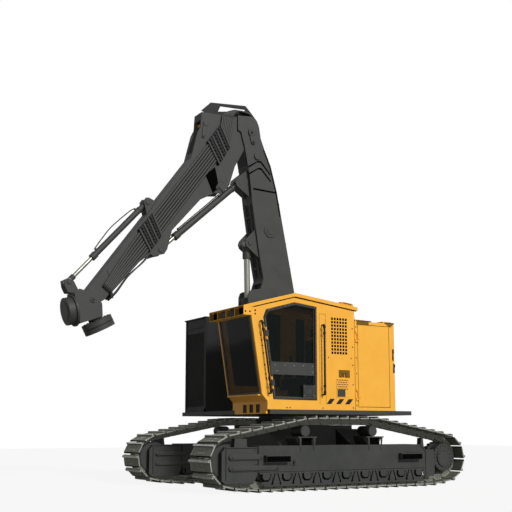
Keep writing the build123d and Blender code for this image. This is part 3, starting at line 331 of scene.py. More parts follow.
# ------------------------------------------------------------------ meshes
class Shape:
    """Collects plain solids for one piece and turns them into one object."""

    def __init__(self, name: str, finish: Finish) -> None:
        """Start an empty piece of one finish."""
        self.name = name
        self.finish = finish
        self.mesh = bmesh.new()

    def prism(self, outline: Sequence[SidePoint], *ends: float) -> "Shape":
        """Add a side outline in millimetres pushed along X.

        Args:
            outline: Corners as (y, z), in order.
            ends: Both ends along X, in either order.

        Returns:
            This shape, so that calls can follow each other.
        """
        rings = [[self.mesh.verts.new((x * MM, y * MM, z * MM)) for y, z in outline] for x in sorted(ends)]
        count = len(outline)
        self.mesh.faces.new(rings[0])
        self.mesh.faces.new(rings[1][::-1])
        for i in range(count):
            j = (i + 1) % count
            self.mesh.faces.new((rings[0][j], rings[0][i], rings[1][i], rings[1][j]))
        return self

    def box(self, x: Point, y: Point, z: Point) -> "Shape":
        """Add a box from its limits in millimetres along each axis."""
        return self.prism([(y[0], z[0]), (y[1], z[0]), (y[1], z[1]), (y[0], z[1])], x[0], x[1])

    def round(self, start: Point, end: Point, radius: float, sides: int = 24) -> "Shape":
        """Add a round bar between two points in millimetres."""
        first, last = Vector(start) * MM, Vector(end) * MM
        axis = last - first
        turn = axis.to_track_quat("Z", "Y").to_matrix().to_4x4()
        bmesh.ops.create_cone(self.mesh, cap_ends=True, segments=sides, radius1=radius * MM,
            radius2=radius * MM, depth=axis.length, matrix=Matrix.Translation((first + last) / 2) @ turn)
        return self

    def disc(self, x: float, at: SidePoint, deep: float, radius: float, sides: int) -> "Shape":
        """Add a disc that stands deep out of a plane across X, in millimetres."""
        return self.round((x, *at), (x + deep, *at), radius, sides)

    def tube(self, path: Sequence[Point], radius: float, sides: int = 12) -> "Shape":
        """Add a tube along a smooth line through points in millimetres."""
        points = smooth([Vector(p) * MM for p in path])
        rings = []
        side = Vector((0, 0, 1)).cross(points[1] - points[0])
        side = side.normalized() if side.length > 1e-6 else Vector((1, 0, 0))
        for i, at in enumerate(points):
            ahead = (points[min(i + 1, len(points) - 1)] - points[max(i - 1, 0)]).normalized()
            side = (side - ahead * side.dot(ahead)).normalized()
            up = ahead.cross(side)
            around = [at + (side * c + up * s) * radius * MM for c, s in circle(sides)]
            rings.append([self.mesh.verts.new(point) for point in around])
        for low, high in zip(rings, rings[1:]):
            for k in range(sides):
                self.mesh.faces.new((low[k], low[(k + 1) % sides], high[(k + 1) % sides], high[k]))
        self.mesh.faces.new(rings[0][::-1])
        self.mesh.faces.new(rings[-1])
        return self

    def done(self, body: str | None, bevel_mm: float = 0.0) -> Object:
        """Make the object, round its edges and let it ride on a body.

        Args:
            body: CAD body that carries the piece, or None to leave that to the caller.
            bevel_mm: Width of the edge rounding.

        Returns:
            The finished object.
        """
        bmesh.ops.recalc_face_normals(self.mesh, faces=self.mesh.faces)
        data = bpy.data.meshes.new(self.name)
        self.mesh.to_mesh(data)
        self.mesh.free()
        made = linked(self.name, data)
        if bevel_mm:
            rounding = made.modifiers.new("rounding", "BEVEL")
            rounding.width = bevel_mm * MM
            rounding.segments = 2
            rounding.limit_method = "ANGLE"
        return dress(made, self.finish, body)


def smooth(points: Sequence[Vector], steps: int = 6) -> list[Vector]:
    """Run a smooth line through points.

    Args:
        points: Points the line goes through.
        steps: Pieces that each stretch is cut into.

    Returns:
        Points along the line, ends included.
    """
    if len(points) < 3:
        return list(points)
    ends = [points[0] * 2 - points[1], *points, points[-1] * 2 - points[-2]]
    line = []
    for a, b, c, d in zip(ends, ends[1:], ends[2:], ends[3:]):
        for i in range(steps):
            t = i / steps
            line.append(0.5 * ((2 * b) + (c - a) * t + (2 * a - 5 * b + 4 * c - d) * t * t
                               + (3 * b - a - 3 * c + d) * t ** 3))
    return line + [points[-1]]


def dress(made: Object, finish: Finish, body: str | None) -> Object:
    """Give a piece its finish and its body."""
    made.data.materials.clear()
    made.data.materials.append(finish.build())
    if body:
        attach(made, body)
        LOG.info("%s rides on %s, %d faces", made.name, body, len(made.data.polygons))
    return made


# Which CAD nodes have which finish.
COATS = (
    (GREY, "car_body track_frames final_drives track_steps door_frame counterweight deck boom_tower "
           "boom stick wrist_bracket wrist_drum head_flange lift_barrel crowd_barrel tilt_barrel"),
    (CAST, "swing_ring idlers sprockets carrier_rollers bottom_rollers engine_block boom_pipes"),
    (YELLOW, "cab_left_side cab_right_side cab_rear cab_front cab_roof visor rear_hood engine_hood "
             "service_door engine_door"),
    (GLASS, "windshield cab_windows door_glass"),
    (LENS, "lamps"),
    (PLASTIC, "cab_floor seat_base arm_pods"),
    (BLACK, "handrails cooler_module cooler_grille exhaust hose_guard hose_clamps"),
    (CHROME, "lift_rod crowd_rod tilt_rod"),
)


# ------------------------------------------------------------------ repeated pieces
class Head(Enum):
    """Kinds of fastener, by the number of sides of the head."""
    HEX = 6
    BUTTON = 16


def started(name: str, sizes: Sequence[str] = ()) -> tuple[GeometryNodeTree, Sequence[NodeSocket]]:
    """Start a tree that takes geometry and sizes in metres, and give it with its inputs."""
    tree = bpy.data.node_groups.new(name, "GeometryNodeTree")
    tree.interface.new_socket("Geometry", in_out="INPUT", socket_type="NodeSocketGeometry")
    for size in sizes:
        tree.interface.new_socket(size, in_out="INPUT", socket_type="NodeSocketFloat")
    tree.interface.new_socket("Geometry", in_out="OUTPUT", socket_type="NodeSocketGeometry")
    return tree, add(tree, "NodeGroupInput").outputs


def sown(tree: GeometryNodeTree, given: Sequence[NodeSocket], piece: Node, finish: Finish,
        pivot: str = "AUTO") -> GeometryNodeTree:
    """End a tree: a piece on each point, turned to the point's own facing, as plain geometry.

    Args:
        tree: Tree to end.
        given: Its inputs.
        piece: Node that gives the piece.
        finish: Finish of the pieces.
        pivot: Axis that the piece turns about.

    Returns:
        The whole tree.
    """
    facing = add(tree, "GeometryNodeInputNamedAttribute", {"Name": "facing"}, data_type="FLOAT_VECTOR")
    turn = add(tree, "FunctionNodeAlignRotationToVector", {"Vector": facing}, axis="Z", pivot_axis=pivot)
    spread = add(tree, "GeometryNodeInstanceOnPoints", {"Points": given["Geometry"],
        "Instance": piece.outputs["Geometry"], "Rotation": turn})
    real = add(tree, "GeometryNodeRealizeInstances", {"Geometry": spread})
    coated = add(tree, "GeometryNodeSetMaterial", {"Geometry": real, "Material": finish.build()})
    add(tree, "NodeGroupOutput", {0: coated})
    return tree


def fastener_tree(name: str, head: Head, finish: Finish) -> GeometryNodeTree:
    """Build the tree that sets one fastener on each point, along the point's own normal.

    Args:
        name: Name of the tree.
        head: Kind of head.
        finish: Finish of the fasteners.

    Returns:
        A tree with inputs Radius and Height, in metres.
    """
    tree, given = started(name, ("Radius", "Height"))
    ring = add(tree, "ShaderNodeMath", {0: given["Radius"], 1: 1.35}, operation="MULTIPLY")
    thin = add(tree, "ShaderNodeMath", {0: given["Height"], 1: 0.3}, operation="MULTIPLY")
    washer = add(tree, "GeometryNodeMeshCylinder", {"Vertices": 16, "Radius": ring, "Depth": thin})
    narrow = add(tree, "ShaderNodeMath", {0: given["Radius"], 1: 0.88}, operation="MULTIPLY")
    top = add(tree, "GeometryNodeMeshCone", {"Vertices": head.value, "Radius Bottom": given["Radius"],
        "Depth": given["Height"], "Radius Top": narrow})
    both = add(tree, "GeometryNodeJoinGeometry")
    for part in (washer, top):
        tree.links.new(part.outputs["Mesh"], both.inputs[0])
    return sown(tree, given, both, finish)


def run_tree(carrier: Object, tree: GeometryNodeTree, sizes: dict[str, float], name: str, finish: Finish,
        body: str) -> Object:
    """Evaluate a tree on a carrier and keep its result as one plain mesh.

    Args:
        carrier: Object whose geometry feeds the tree; it is removed.
        tree: Tree to run.
        sizes: Input name to value.
        name: Name of the piece.
        finish: Its finish.
        body: Body it rides on.

    Returns:
        The plain piece.
    """
    maker = carrier.modifiers.new("maker", "NODES")
    maker.node_group = tree
    for item in tree.interface.items_tree:
        if item.in_out == "INPUT" and item.name in sizes:
            maker[item.identifier] = sizes[item.name]
    data = evaluated(carrier)
    data.name = name
    bpy.data.objects.remove(carrier)
    return dress(linked(name, data), finish, body)


def carrier_of(points: Sequence[Point], facings: Sequence[Point], scale: float = MM) -> Object:
    """Make a cloud of points that carry a facing for a tree to read."""
    data = bpy.data.meshes.new("carrier")
    data.from_pydata([tuple(c * scale for c in p) for p in points], [], [])
    layer = data.attributes.new("facing", "FLOAT_VECTOR", "POINT")
    for i, facing in enumerate(facings):
        layer.data[i].vector = facing
    return linked("carrier", data)


class Fasteners:
    """Rows of bolt heads, made by one tree per kind."""

    def __init__(self) -> None:
        """Build the trees once."""
        self.trees = {}

    def place(self, name: str, body: str, points: Sequence[Point], facing: Point | Sequence[Point],
            radius_mm: float, finish: Finish, head: Head = Head.HEX) -> Object:
        """Set one fastener on each point.

        Args:
            name: Name of the piece.
            body: Body it rides on.
            points: Places in millimetres.
            facing: One direction for all, or one for each.
            radius_mm: Radius of the head.
            finish: Finish of the heads.
            head: Kind of head.

        Returns:
            The finished piece.
        """
        key = (head, finish.name)
        if key not in self.trees:
            self.trees[key] = fastener_tree(f"{finish.name}_{head.name.lower()}", head, finish)
        facings = facing if isinstance(facing[0], (tuple, list, Vector)) else [facing] * len(points)
        return run_tree(carrier_of(points, facings), self.trees[key],
            {"Radius": radius_mm * MM, "Height": radius_mm * 0.9 * MM}, name, finish, body)


BOLTS = Fasteners()


def row(start: Point, end: Point, count: int) -> list[Vector]:
    """Evenly spaced points from start to end."""
    first, last = Vector(start), Vector(end)
    return [first.lerp(last, i / (count - 1)) for i in range(count)]


# ------------------------------------------------------------------ tracks
@dataclass
class Tracks:
    """Shoes, links and bolts of both chains."""
    centre_x: float = 1225.0
    shoe_width: float = 604.0
    shoe_count: int = 52
    link_height: float = 88.0
    shoe_thick: float = 16.0
    grouser: float = 28.0
    wheels: tuple = ((-2000, 440, 268), (2000, 440, 268), (-673, 866, 92), (598, 866, 92), (-1596, 222, 90),
        (1666, 222, 90))
    start_share: float = -0.043254

    def pins(self) -> list[SidePoint]:
        """Pin places round the chain, evenly spaced along the hull of its wheels."""
        dots = []
        for y, z, radius in self.wheels:
            reach = radius + self.link_height / 2
            dots += [(y + reach * c, z + reach * s) for c, s in circle(360)]
        dots.sort()
        hull: list[SidePoint] = []
        for turn in (dots, dots[::-1]):
            part: list[SidePoint] = []
            for dot in turn:
                while len(part) > 1 and ((part[-1][0] - part[-2][0]) * (dot[1] - part[-2][1])
                                         - (part[-1][1] - part[-2][1]) * (dot[0] - part[-2][0])) <= 0:
                    part.pop()
                part.append(dot)
            hull += part[:-1]
        lengths = [math.dist(a, b) for a, b in zip(hull, hull[1:] + hull[:1])]
        total = sum(lengths)
        places = []
        for i in range(self.shoe_count):
            left = total * ((i / self.shoe_count + self.start_share) % 1.0)
            for k, length in enumerate(lengths):
                if left <= length:
                    a, b = hull[k], hull[(k + 1) % len(hull)]
                    places.append((a[0] + (b[0] - a[0]) * left / length,
                        a[1] + (b[1] - a[1]) * left / length))
                    break
                left -= length
        return places

    def shoe(self) -> Object:
        """One shoe with its links: the pitch runs along +Y, outwards is +Z."""
        pitch = self.pitch()
        half = self.shoe_width / 2
        base = self.link_height / 2
        shape = Shape("shoe_pattern", SHOE_STEEL)
        top = base + self.shoe_thick
        profile = ((1.0, base), (-0.05, base - 4), (-0.05, top - 10), (0.08, top), (0.73, top),
            (0.79, top + self.grouser), (0.91, top + self.grouser), (0.97, top))
        shape.prism([(pitch * share, height) for share, height in profile], -half, half)
        for side in (-1, 1):
            middle = side * 62
            shape.prism([(-24, -base + 8), (20, -base), (pitch - 20, -base), (pitch + 24, -base + 8),
                (pitch + 24, base - 24), (pitch * 0.75, base), (pitch * 0.2, base), (-24, base - 30)],
                middle - 17 + side * 4, middle + 17 + side * 4)
            shape.round((side * 45, 0, 0), (side * 95, 0, 0), 24, 14)
            for y in (pitch * 0.25, pitch * 0.55):
                for x in (middle - 26, middle + 26):
                    shape.round((x, y, top - 1), (x, y, top + 10), 11, 6)
        shape.round((-84, 0, 0), (84, 0, 0), 19, 14)
        return shape.done(None)

    def tip(self) -> Object:
        """The polished edge of one shoe: a thin strip on its bar and along both ends."""
        pitch, half = self.pitch(), self.shoe_width / 2
        top = self.link_height / 2 + self.shoe_thick
        bar = top + self.grouser
        shape = Shape("tip_pattern", WORN_STEEL)
        shape.prism([(pitch * 0.785, bar - 7), (pitch * 0.785, bar + 1), (pitch * 0.915, bar + 1),
            (pitch * 0.915, bar - 7)], -half - 1, half + 1)
        for x in (-half, half):
            shape.prism([(pitch * 0.08, top - 6), (pitch * 0.08, top + 1), (pitch * 0.93, top + 1),
                (pitch * 0.93, top - 6)], x - 2, x + 2)
        return shape.done(None)

    def gap(self) -> Object:
        """The dark joint between one shoe and the next."""
        pitch, half = self.pitch(), self.shoe_width / 2
        base, top = self.link_height / 2, self.link_height / 2 + self.shoe_thick
        shape = Shape("gap_pattern", RECESS)
        shape.prism([(-0.03 * pitch, base - 5), (-0.03 * pitch, top - 6), (0.05 * pitch, top - 1),
            (0.05 * pitch, base - 5)], -half - 2.5, half + 2.5)
        return shape.done(None)

    def pitch(self) -> float:
        """Length of one chord between pins."""
        places = self.pins()
        return math.dist(places[0], places[1])

    def build(self) -> None:
        """Make both chains in place of the plain loops."""
        places = self.pins()
        patterns = {"chain": (self.shoe(), SHOE_STEEL), "chain_tips": (self.tip(), WORN_STEEL),
            "chain_gaps": (self.gap(), RECESS)}
        trees = {}
        for kind, (pattern, finish) in patterns.items():
            tree, given = started(pattern.name)
            source = add(tree, "GeometryNodeObjectInfo", {"Object": pattern})
            trees[kind] = sown(tree, given, source, finish, "X")
        for side, name in SIDES:
            points, facings = [], []
            for at, to in zip(places, places[1:] + places[:1]):
                chord = Vector((0, to[0] - at[0], to[1] - at[1])).normalized()
                points.append((side * self.centre_x, to[0], to[1]))
                facings.append(chord.cross(Vector((1, 0, 0))))
            for kind, (_, finish) in patterns.items():
                made = run_tree(carrier_of(points, facings), trees[kind], {}, f"{kind}_{name}", finish, BASE)
                if kind == "chain":
                    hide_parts(f"track_{name}")
        for pattern, _ in patterns.values():
            bpy.data.objects.remove(pattern)


# ------------------------------------------------------------------ undercarriage
@dataclass
class Undercarriage:
    """Frames, wheels and fasteners between the tracks."""
    face_x: float = 1425.0
    hub: SidePoint = (2030.0, 440.0)
    idler: SidePoint = (-2000.0, 440.0)
    centre_x: float = 1225.0
    carriers: tuple = (-673, 598)
    first_roller: float = -1396.0
    roller_pitch: float = 357.75
    roller_count: int = 9
    flanges: tuple = (((-1520, 285), (-1520, 655), (-1496, 655), (-1496, 285)),
                      ((-1496, 285), (-1496, 303), (1630, 303), (1630, 285)),
                      ((1520, 653), (1636, 560), (1636, 150), (1618, 150), (1618, 550), (1506, 641)))

    def ring(self, x: float, at: SidePoint, radius: float, count: int) -> list[Vector]:
        """Points on a circle that faces sideways."""
        return [Vector((x, at[0] + radius * c, at[1] + radius * s)) for c, s in circle(count)]

    def build(self) -> None:
        """Add the frames' fasteners and covers."""
        for side, name in SIDES:
            face = side * self.face_x
            points = self.ring(face, self.hub, 118, 12) + self.ring(face - side * 22, self.hub, 190, 20)
            BOLTS.place(f"hub_bolts_{name}", BASE, points, (side, 0, 0), 11, GREY)
            points = row((face, -1560, 300), (face, -1560, 600), 4)
            BOLTS.place(f"frame_bolts_{name}", BASE, points, (side, 0, 0), 12, GREY)
            cover = Shape(f"access_cover_{name}", GREY)
            for y in (-950, -893):
                cover.disc(face - side * 2, (y, 411), side * 10, 44, 28)
            cover.box((face - side * 2, face + side * 8), (-950, -893), (368, 454))
            cover.done(BASE, 2)
            self.plates(face, side, name)
            self.plates(side * (2 * self.centre_x - self.face_x), -side, f"{name}_inner")
            self.roller_covers(side, name)
        self.treads()

    def plates(self, face: float, side: int, name: str) -> None:
        """Adjuster bars, seams and flanges on a face of a frame that looks to a side."""
        bars = Shape(f"adjuster_bars_{name}", GREY)
        for y_low, y_high, z in ((-1985, -1485, 495), (-1985, -1205, 340)):
            for at in (y_low, y_high):
                bars.disc(face, (at, z), side * 30, 30, 20)
            bars.box((face, face + side * 30), (y_low, y_high), (z - 30, z + 30))
        bars.done(BASE, 8)
        seams = Shape(f"frame_seams_{name}", BLACK)
        for y in (-2056, -1532):
            seams.box((face - side, face + side * 2), (y - 7, y + 7), (176, 636))
        seams.box((face - side, face + side * 2), (-2050, -1538), (618, 630))
        seams.done(BASE)
        flange = Shape(f"frame_flanges_{name}", GREY)
        for outline in self.flanges:
            flange.prism(outline, face - side, face + side * 12)
        flange.done(BASE, 3)

    def roller_covers(self, side: int, name: str) -> None:
        """Caps over the bottom rollers' ends, painted shade round them and along the fins between them,
        carrier caps and their stands.
        """
        face = side * self.face_x
        wheel = Shape(f"idler_cover_{name}", GREY)
        for way in (-1, 1):
            at = side * self.centre_x + way * 96
            wheel.round((at - way * 6, *self.idler), (at + way * 4, *self.idler), 236, 56)
        wheel.done(BASE, 3)
        out, back = face + side * 3, face - side * 4
        # Painted shade: dead black rims round the caps and slanted strips along the fins.
        caps, shade_lines = Shape(f"roller_caps_{name}", GREY), Shape(f"guard_fins_{name}", RECESS)
        backing = Shape(f"guard_backing_{name}", GREY)
        backing.box((face - side * 12, face - side * 10), (-1440, 1560), (90, 262))
        backing.done(BASE)
        for k in range(self.roller_count):
            y = self.first_roller + k * self.roller_pitch
            cap = [(y - 62, 262), (y + 62, 262), (y + 62, 200), (y + 34, 168), (y - 34, 168), (y - 62, 200)]
            caps.prism(cap, back, back + side * 16)
            rim = [(y + (at - y) * 1.3, 262 - (262 - z) * 1.22) for at, z in cap]
            shade_lines.prism(rim, face - side * 10, back)
            middle = y + self.roller_pitch / 2
            for way in (-1, 1) if k < self.roller_count - 1 else ():
                slant = [(middle + way * reach, z) for reach, z in ((14, 262), (30, 262), (84, 104),
                    (66, 104))]
                shade_lines.prism(slant, face - side * 10, out)
        caps.done(BASE, 3)
        shade_lines.done(BASE, 1)
        rollers, stands = Shape(f"carrier_caps_{name}", GREY), Shape(f"stand_plates_{name}", GREY)
        dark = Shape(f"stand_shadows_{name}", RECESS)
        for y in self.carriers:
            for way in (-1, 1):
                at = side * self.centre_x + way * 140
                rollers.round((at - way * 32, y, 866), (at + way * 12, y, 866), 80, 40)
            edge = side * (self.centre_x + 140)
            stands.box((edge - side, edge + side * 26), (y - 165, y + 165), (766, 784))
            for fin in (-112, 112):
                stands.box((edge - side, edge + side * 26), (y + fin - 8, y + fin + 8), (655, 766))
            dark.box((edge - side, edge + side * 2), (y - 104, y + 104), (657, 765))
            for end, foot in ((-1, -128), (1, 128)):
                at = y + foot
                stands.prism([(at - 18, 766), (at + 18, 766), (at + 8 - end * 12, 575),
                    (at - 8 - end * 12, 575)], face, face + side * 9)
            stands.box((edge, face + side * 9), (y - 172, y + 172), (766, 784))
        rollers.done(BASE, 3)
        stands.done(BASE, 2)
        dark.done(BASE)

    def treads(self) -> None:
        """Raised grip on the steps, rows of small round buttons, and the steps' dark sides."""
        points = []
        for side in (-1, 1):
            for y_low, y_high in ((-1432, -1019), (1063, 1484)):
                for x in (1448, 1486):
                    points += row((side * x, y_low + 22, 520), (side * x, y_high - 22, 520), 12)
        BOLTS.place("step_grip", BASE, points, (0, 0, 1), 9, GREY, Head.BUTTON)
        (_, _, low), (outer, _, high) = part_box("track_steps")
        dark = Shape("step_shadows", RECESS)
        for side in (-1, 1):
            face = side * outer / MM
            for y in ((-1428, -1023), (1067, 1480)):
                dark.box((face - side, face + side * 1.5), y, (low / MM + 5, high / MM - 12))
        dark.done(BASE)


# ------------------------------------------------------------------ cab
@dataclass
class Cab:
    """Panels' fasteners, seals, stripes, rails and lamps of the cab."""
    side_x: float = 1425.0
    door_x: float = 1437.0
    rail_out: float = 55.0           # how far the handrails stand off the door's face
    vent_pitch: float = 52.5
    door: tuple = ((-1391, 2646), (-890, 2785), (-485, 2744), (-488, 1320), (-1267, 1325), (-1438, 2529))
    # middle, half width and half height of the bars round the latch and its keyhole plate
    latch_bars: tuple = ((-638, 1540, 100, 6), (-638, 1382, 100, 6), (-738, 1461, 6, 79), (-538, 1461, 6, 79),
        (-638, 1505, 52, 4), (-638, 1410, 52, 4), (-690, 1457, 4, 48), (-586, 1457, 4, 48))
    sill: SidePoint = (-1460.0, 1400.0)
    brow: SidePoint = (-1640.0, 2540.0)
    pillar: tuple = ((-1476, 2259), (-1467, 2183), (-1455, 2107), (-1436, 1998), (-1413, 1829), (-1396, 1698),
        (-1386, 1627))
    seam_bolts: tuple = ((-273, 1979), (157, 1979), (190, 2445), (190, 2158), (190, 1876), (190, 1573),
        (190, 1219), (-1031, 1210), (-978, 1210), (-384, 1210))
    visor_bolts: tuple = ((-1756, 2591), (-1680, 2592))
    brow_bolts: tuple = ((-1576, 2618), (-1576, 2568))

    def inset_door(self, gap: float) -> list[SidePoint]:
        """The door's outline moved inwards by gap."""
        count = len(self.door)
        middle = (sum(p[0] for p in self.door) / count, sum(p[1] for p in self.door) / count)
        lines = []
        for a, b in zip(self.door, self.door[1:] + self.door[:1]):
            normal = Vector((b[1] - a[1], a[0] - b[0])).normalized()
            if normal.dot(Vector(middle) - Vector(a)) < 0:
                normal = -normal
            lines.append((Vector(a) + normal * gap, Vector(b) + normal * gap))
        corners = []
        for (a, b), (c, d) in zip(lines[-1:] + lines[:-1], lines):
            one, two = b - a, d - c
            share = ((c.x - a.x) * two.y - (c.y - a.y) * two.x) / (one.x * two.y - one.y * two.x)
            corners.append((a.x + one.x * share, a.y + one.y * share))
        return corners

    def band(self, shape: Shape, outer: Sequence[SidePoint], inner: Sequence[SidePoint], x: Point) -> None:
        """Add a closed band between two outlines of as many corners each."""
        count = len(outer)
        for i in range(count):
            j = (i + 1) % count
            shape.prism([outer[i], outer[j], inner[j], inner[i]], x[0], x[1])

    def fasten(self) -> None:
        """Bolts round the panels and the door."""
        side, door = self.side_x, self.door_x
        dark = [(side, *at) for at in self.pillar] + [(side + 24, *at) for at in self.visor_bolts]
        dark += [(side, *at) for at in self.brow_bolts]
        BOLTS.place("pillar_bolts", "house", dark, (1, 0, 0), 10, BLACK)
        seams = [(side, *at) for at in self.seam_bolts]
        BOLTS.place("panel_bolts", "house", seams, (1, 0, 0), 8, CAST, Head.BUTTON)
        frame = []
        for a, b in zip(self.inset_door(22), self.inset_door(22)[1:] + self.inset_door(22)[:1]):
            frame += row((door, *a), (door, *b), 8)[:-1]
        BOLTS.place("door_bolts", "cab_door", frame, (1, 0, 0), 6, BLACK, Head.BUTTON)
        guard = row((door - 22, -1230, 1830), (door - 22, -560, 1830), 5)
        guard += row((door - 22, -1200, 1740), (door - 22, -560, 1740), 2)
        BOLTS.place("guard_bolts", "cab_door", guard, (1, 0, 0), 9, ZINC)
        box = [(door + 4, y, z) for y in (-735, -543) for z in (1386, 1535)]
        BOLTS.place("latch_bolts", "cab_door", box, (1, 0, 0), 8, ZINC)

    def seals(self) -> None:
        """Rubber beside the windscreen and round the door's pane, and a painted shadow under the roof's edge.
        """
        seal = Shape("door_pane_seal", HOSE)
        self.band(seal, self.inset_door(37), self.inset_door(48), (self.door_x - 44, self.door_x - 32))
        seal.done("cab_door", 2)
        ahead = Vector((0, self.brow[0] - self.sill[0], self.brow[1] - self.sill[1]))
        out = Vector((0, -ahead.z, ahead.y)).normalized() * -1
        screen = Shape("windscreen_seal", HOSE)
        low, high = Vector((0, *self.sill)), Vector((0, *self.brow))
        for x in (470, 1368):
            foot, head = low + out * -2, high + out * -2
            screen.prism([(foot.y, foot.z), (head.y, head.z), (head.y - 12, head.z), (foot.y - 12, foot.z)],
                x - 14, x + 14)
        screen.box((461, 1377), (self.sill[0] - 14, self.sill[0] + 2), (self.sill[1], self.sill[1] + 26))
        screen.done("house", 2)
        # Painted shadow: a dead black strip under the roof's overhanging edge on both sides.
        roof_shadow = Shape("roof_gutter", RECESS)
        for x in (self.side_x + 1, 412):
            for (y0, z0), (y1, z1) in (((-1590, 2679), (-889, 2870)), ((-889, 2870), (270, 2733))):
                roof_shadow.prism([(y0, z0), (y1, z1), (y1, z1 - 14), (y0, z0 - 14)], x - 2, x + 2)
        roof_shadow.done("house")

    def stripes(self) -> None:
        """Three slanted black stripes low on the side."""
        paint = Shape("hazard_stripes", BLACK)
        for y in (-318, -141, 29):
            paint.prism([(y, 1272), (y + 86, 1272), (y + 157, 1352), (y + 71, 1352)], self.side_x - 1,
                self.side_x + 1.2)
        paint.done("house")

    def seams(self) -> None:
        """Narrow joints between the side's sheets, and the vent hatch at the roof's edge."""
        lines = Shape("panel_seams", SHADED_YELLOW)
        face = (self.side_x - 1, self.side_x + 1)
        for y in (-436, -322, 243):
            lines.box(face, (y - 2.5, y + 2.5), (1262, 2640))
        lines.box(face, (-436, -322), (2637, 2642))
        lines.done("house")
        Shape("right_pillar", YELLOW).box((428.5, 442), (-516, -217), (1545, 2700)).done("house", 3)
        x, vent = self.side_x, [(-30, 2829), (205, 2801), (205, 2826), (186, 2838), (-10, 2858)]
        Shape("roof_vent", YELLOW).prism(vent, x - 150, x + 14).done("house", 4)
        # Painted shade: a dead black sheet in the vent's slot.
        slot = [(0, 2836), (178, 2815), (168, 2829), (8, 2848)]
        Shape("roof_vent_slot", RECESS).prism(slot, x + 13, x + 15).done("house")

    def service_bay(self) -> None:
        """Recessed sockets drawn in painted shade, and the perforated cover low on the left side."""
        # Painted shade: dull olive blocks for the shade inside the sockets' recess.
        bay = Shape("socket_bay", SHADED_YELLOW)
        bay.box((1396, 1422), (-79, -4), (1684, 1782)).box((1396, 1422), (60, 126), (1684, 1788))
        bay.box((1396, 1418), (-4, 60), (1742, 1788)).box((1396, 1410), (14, 40), (1684, 1742))
        bay.done("house", 3)
        points = [(self.side_x + 5, y, z) for z in range(1640, 1503,
            -34) for y in range(-105 + (z // 34 % 2) * 15, 90, 30)]
        BOLTS.place("cover_perforations", "house", points, (1, 0, 0), 7, CAST, Head.BUTTON)
        x = self.side_x
        Shape("socket_plate", CAST).box((x + 4, x + 10), (-112, 34), (1386, 1497)).done("house", 2)

    def inlays(self) -> None:
        """Painted shade in the vents' holes, dark mesh in the apron's openings and bars round the door's
        latch.
        """
        # Painted shade: dead black blocks inside the vents' holes, where the walls would show lit yellow.
        mesh = Shape("vent_mesh", RECESS)
        for column in range(6):
            for line in range(11):
                y, z = -65 + (column - 2.5) * self.vent_pitch, 2317 + (line - 5) * self.vent_pitch
                mesh.box((self.side_x - 26, self.side_x - 6), (y - 17.5, y + 17.5), (z - 17.5, z + 17.5))
        mesh.done("house")
        slots = Shape("apron_mesh", BLACK)
        for x in (686, 876, 1066):
            slots.box((x - 1, x + 143), (-1348, -1345), (1135, 1260))
        slots.done("house")
        latch = Shape("latch_ring", BLACK)
        face = self.door_x + 3
        for y, z, wide, tall in self.latch_bars:
            latch.box((face - 2, face + 3), (y - wide, y + wide), (z - tall, z + tall))
        latch.done("cab_door", 1)

    def rails(self) -> None:
        """Clamps on the two handrails."""
        x = self.door_x + self.rail_out
        grips = Shape("rail_clamps", BLACK)
        for (y0, z0), (y1, z1) in (((-390, 1409), (-390, 2468)), ((-1341, 1412), (-1496, 2462))):
            start, end = Vector((x, y0, z0)), Vector((x, y1, z1))
            for share in (0.03, 0.12, 0.88, 0.97):
                at = start.lerp(end, share)
                ahead = (end - start).normalized()
                grips.round(at - ahead * 16, at + ahead * 16, 23, 16)
        grips.done("house", 2)

    def lamps(self) -> None:
        """Fins behind the two lamps, and painted shade on the back, side walls and floor of the visor's bays.
        """
        low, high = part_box("lamps")
        shape = Shape("lamp_housings", BLACK)
        for x in (low[0] / MM + 70, high[0] / MM - 70):
            for k in range(5):
                shape.box((x - 62, x + 62), (high[1] / MM - 1, high[1] / MM + 10),
                    (2572 + k * 16, 2580 + k * 16))
        shape.done("house", 1)
        dark, wall_shade = Shape("visor_shadows", RECESS), Shape("visor_linings", SHADED_YELLOW)
        (left, front, floor), (right, _, top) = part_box("visor")
        bay = (right - left) / MM / 4
        for k in range(4):
            start = left / MM + k * bay
            deep, tall = (front / MM + 3, high[1] / MM - 3), (floor / MM + 7, top / MM - 42)
            dark.box((start + 10, start + bay - 10), (high[1] / MM - 3, high[1] / MM - 1),
                (tall[0] + 2, tall[1] + 2))
            # Painted shade: dull olive sheets on each bay's side walls and floor.
            for wall in (start + 6, start + bay - 8):
                wall_shade.box((wall, wall + 2), deep, tall)
            wall_shade.box((start + 8, start + bay - 8), deep, (tall[0] - 1, tall[0] + 1))
        dark.done("house")
        wall_shade.done("house")

    def build(self) -> None:
        """Make the whole cab."""
        for step in (self.fasten, self.seals, self.stripes, self.seams, self.service_bay, self.inlays,
                self.rails, self.lamps):
            step()
        Seat().build()


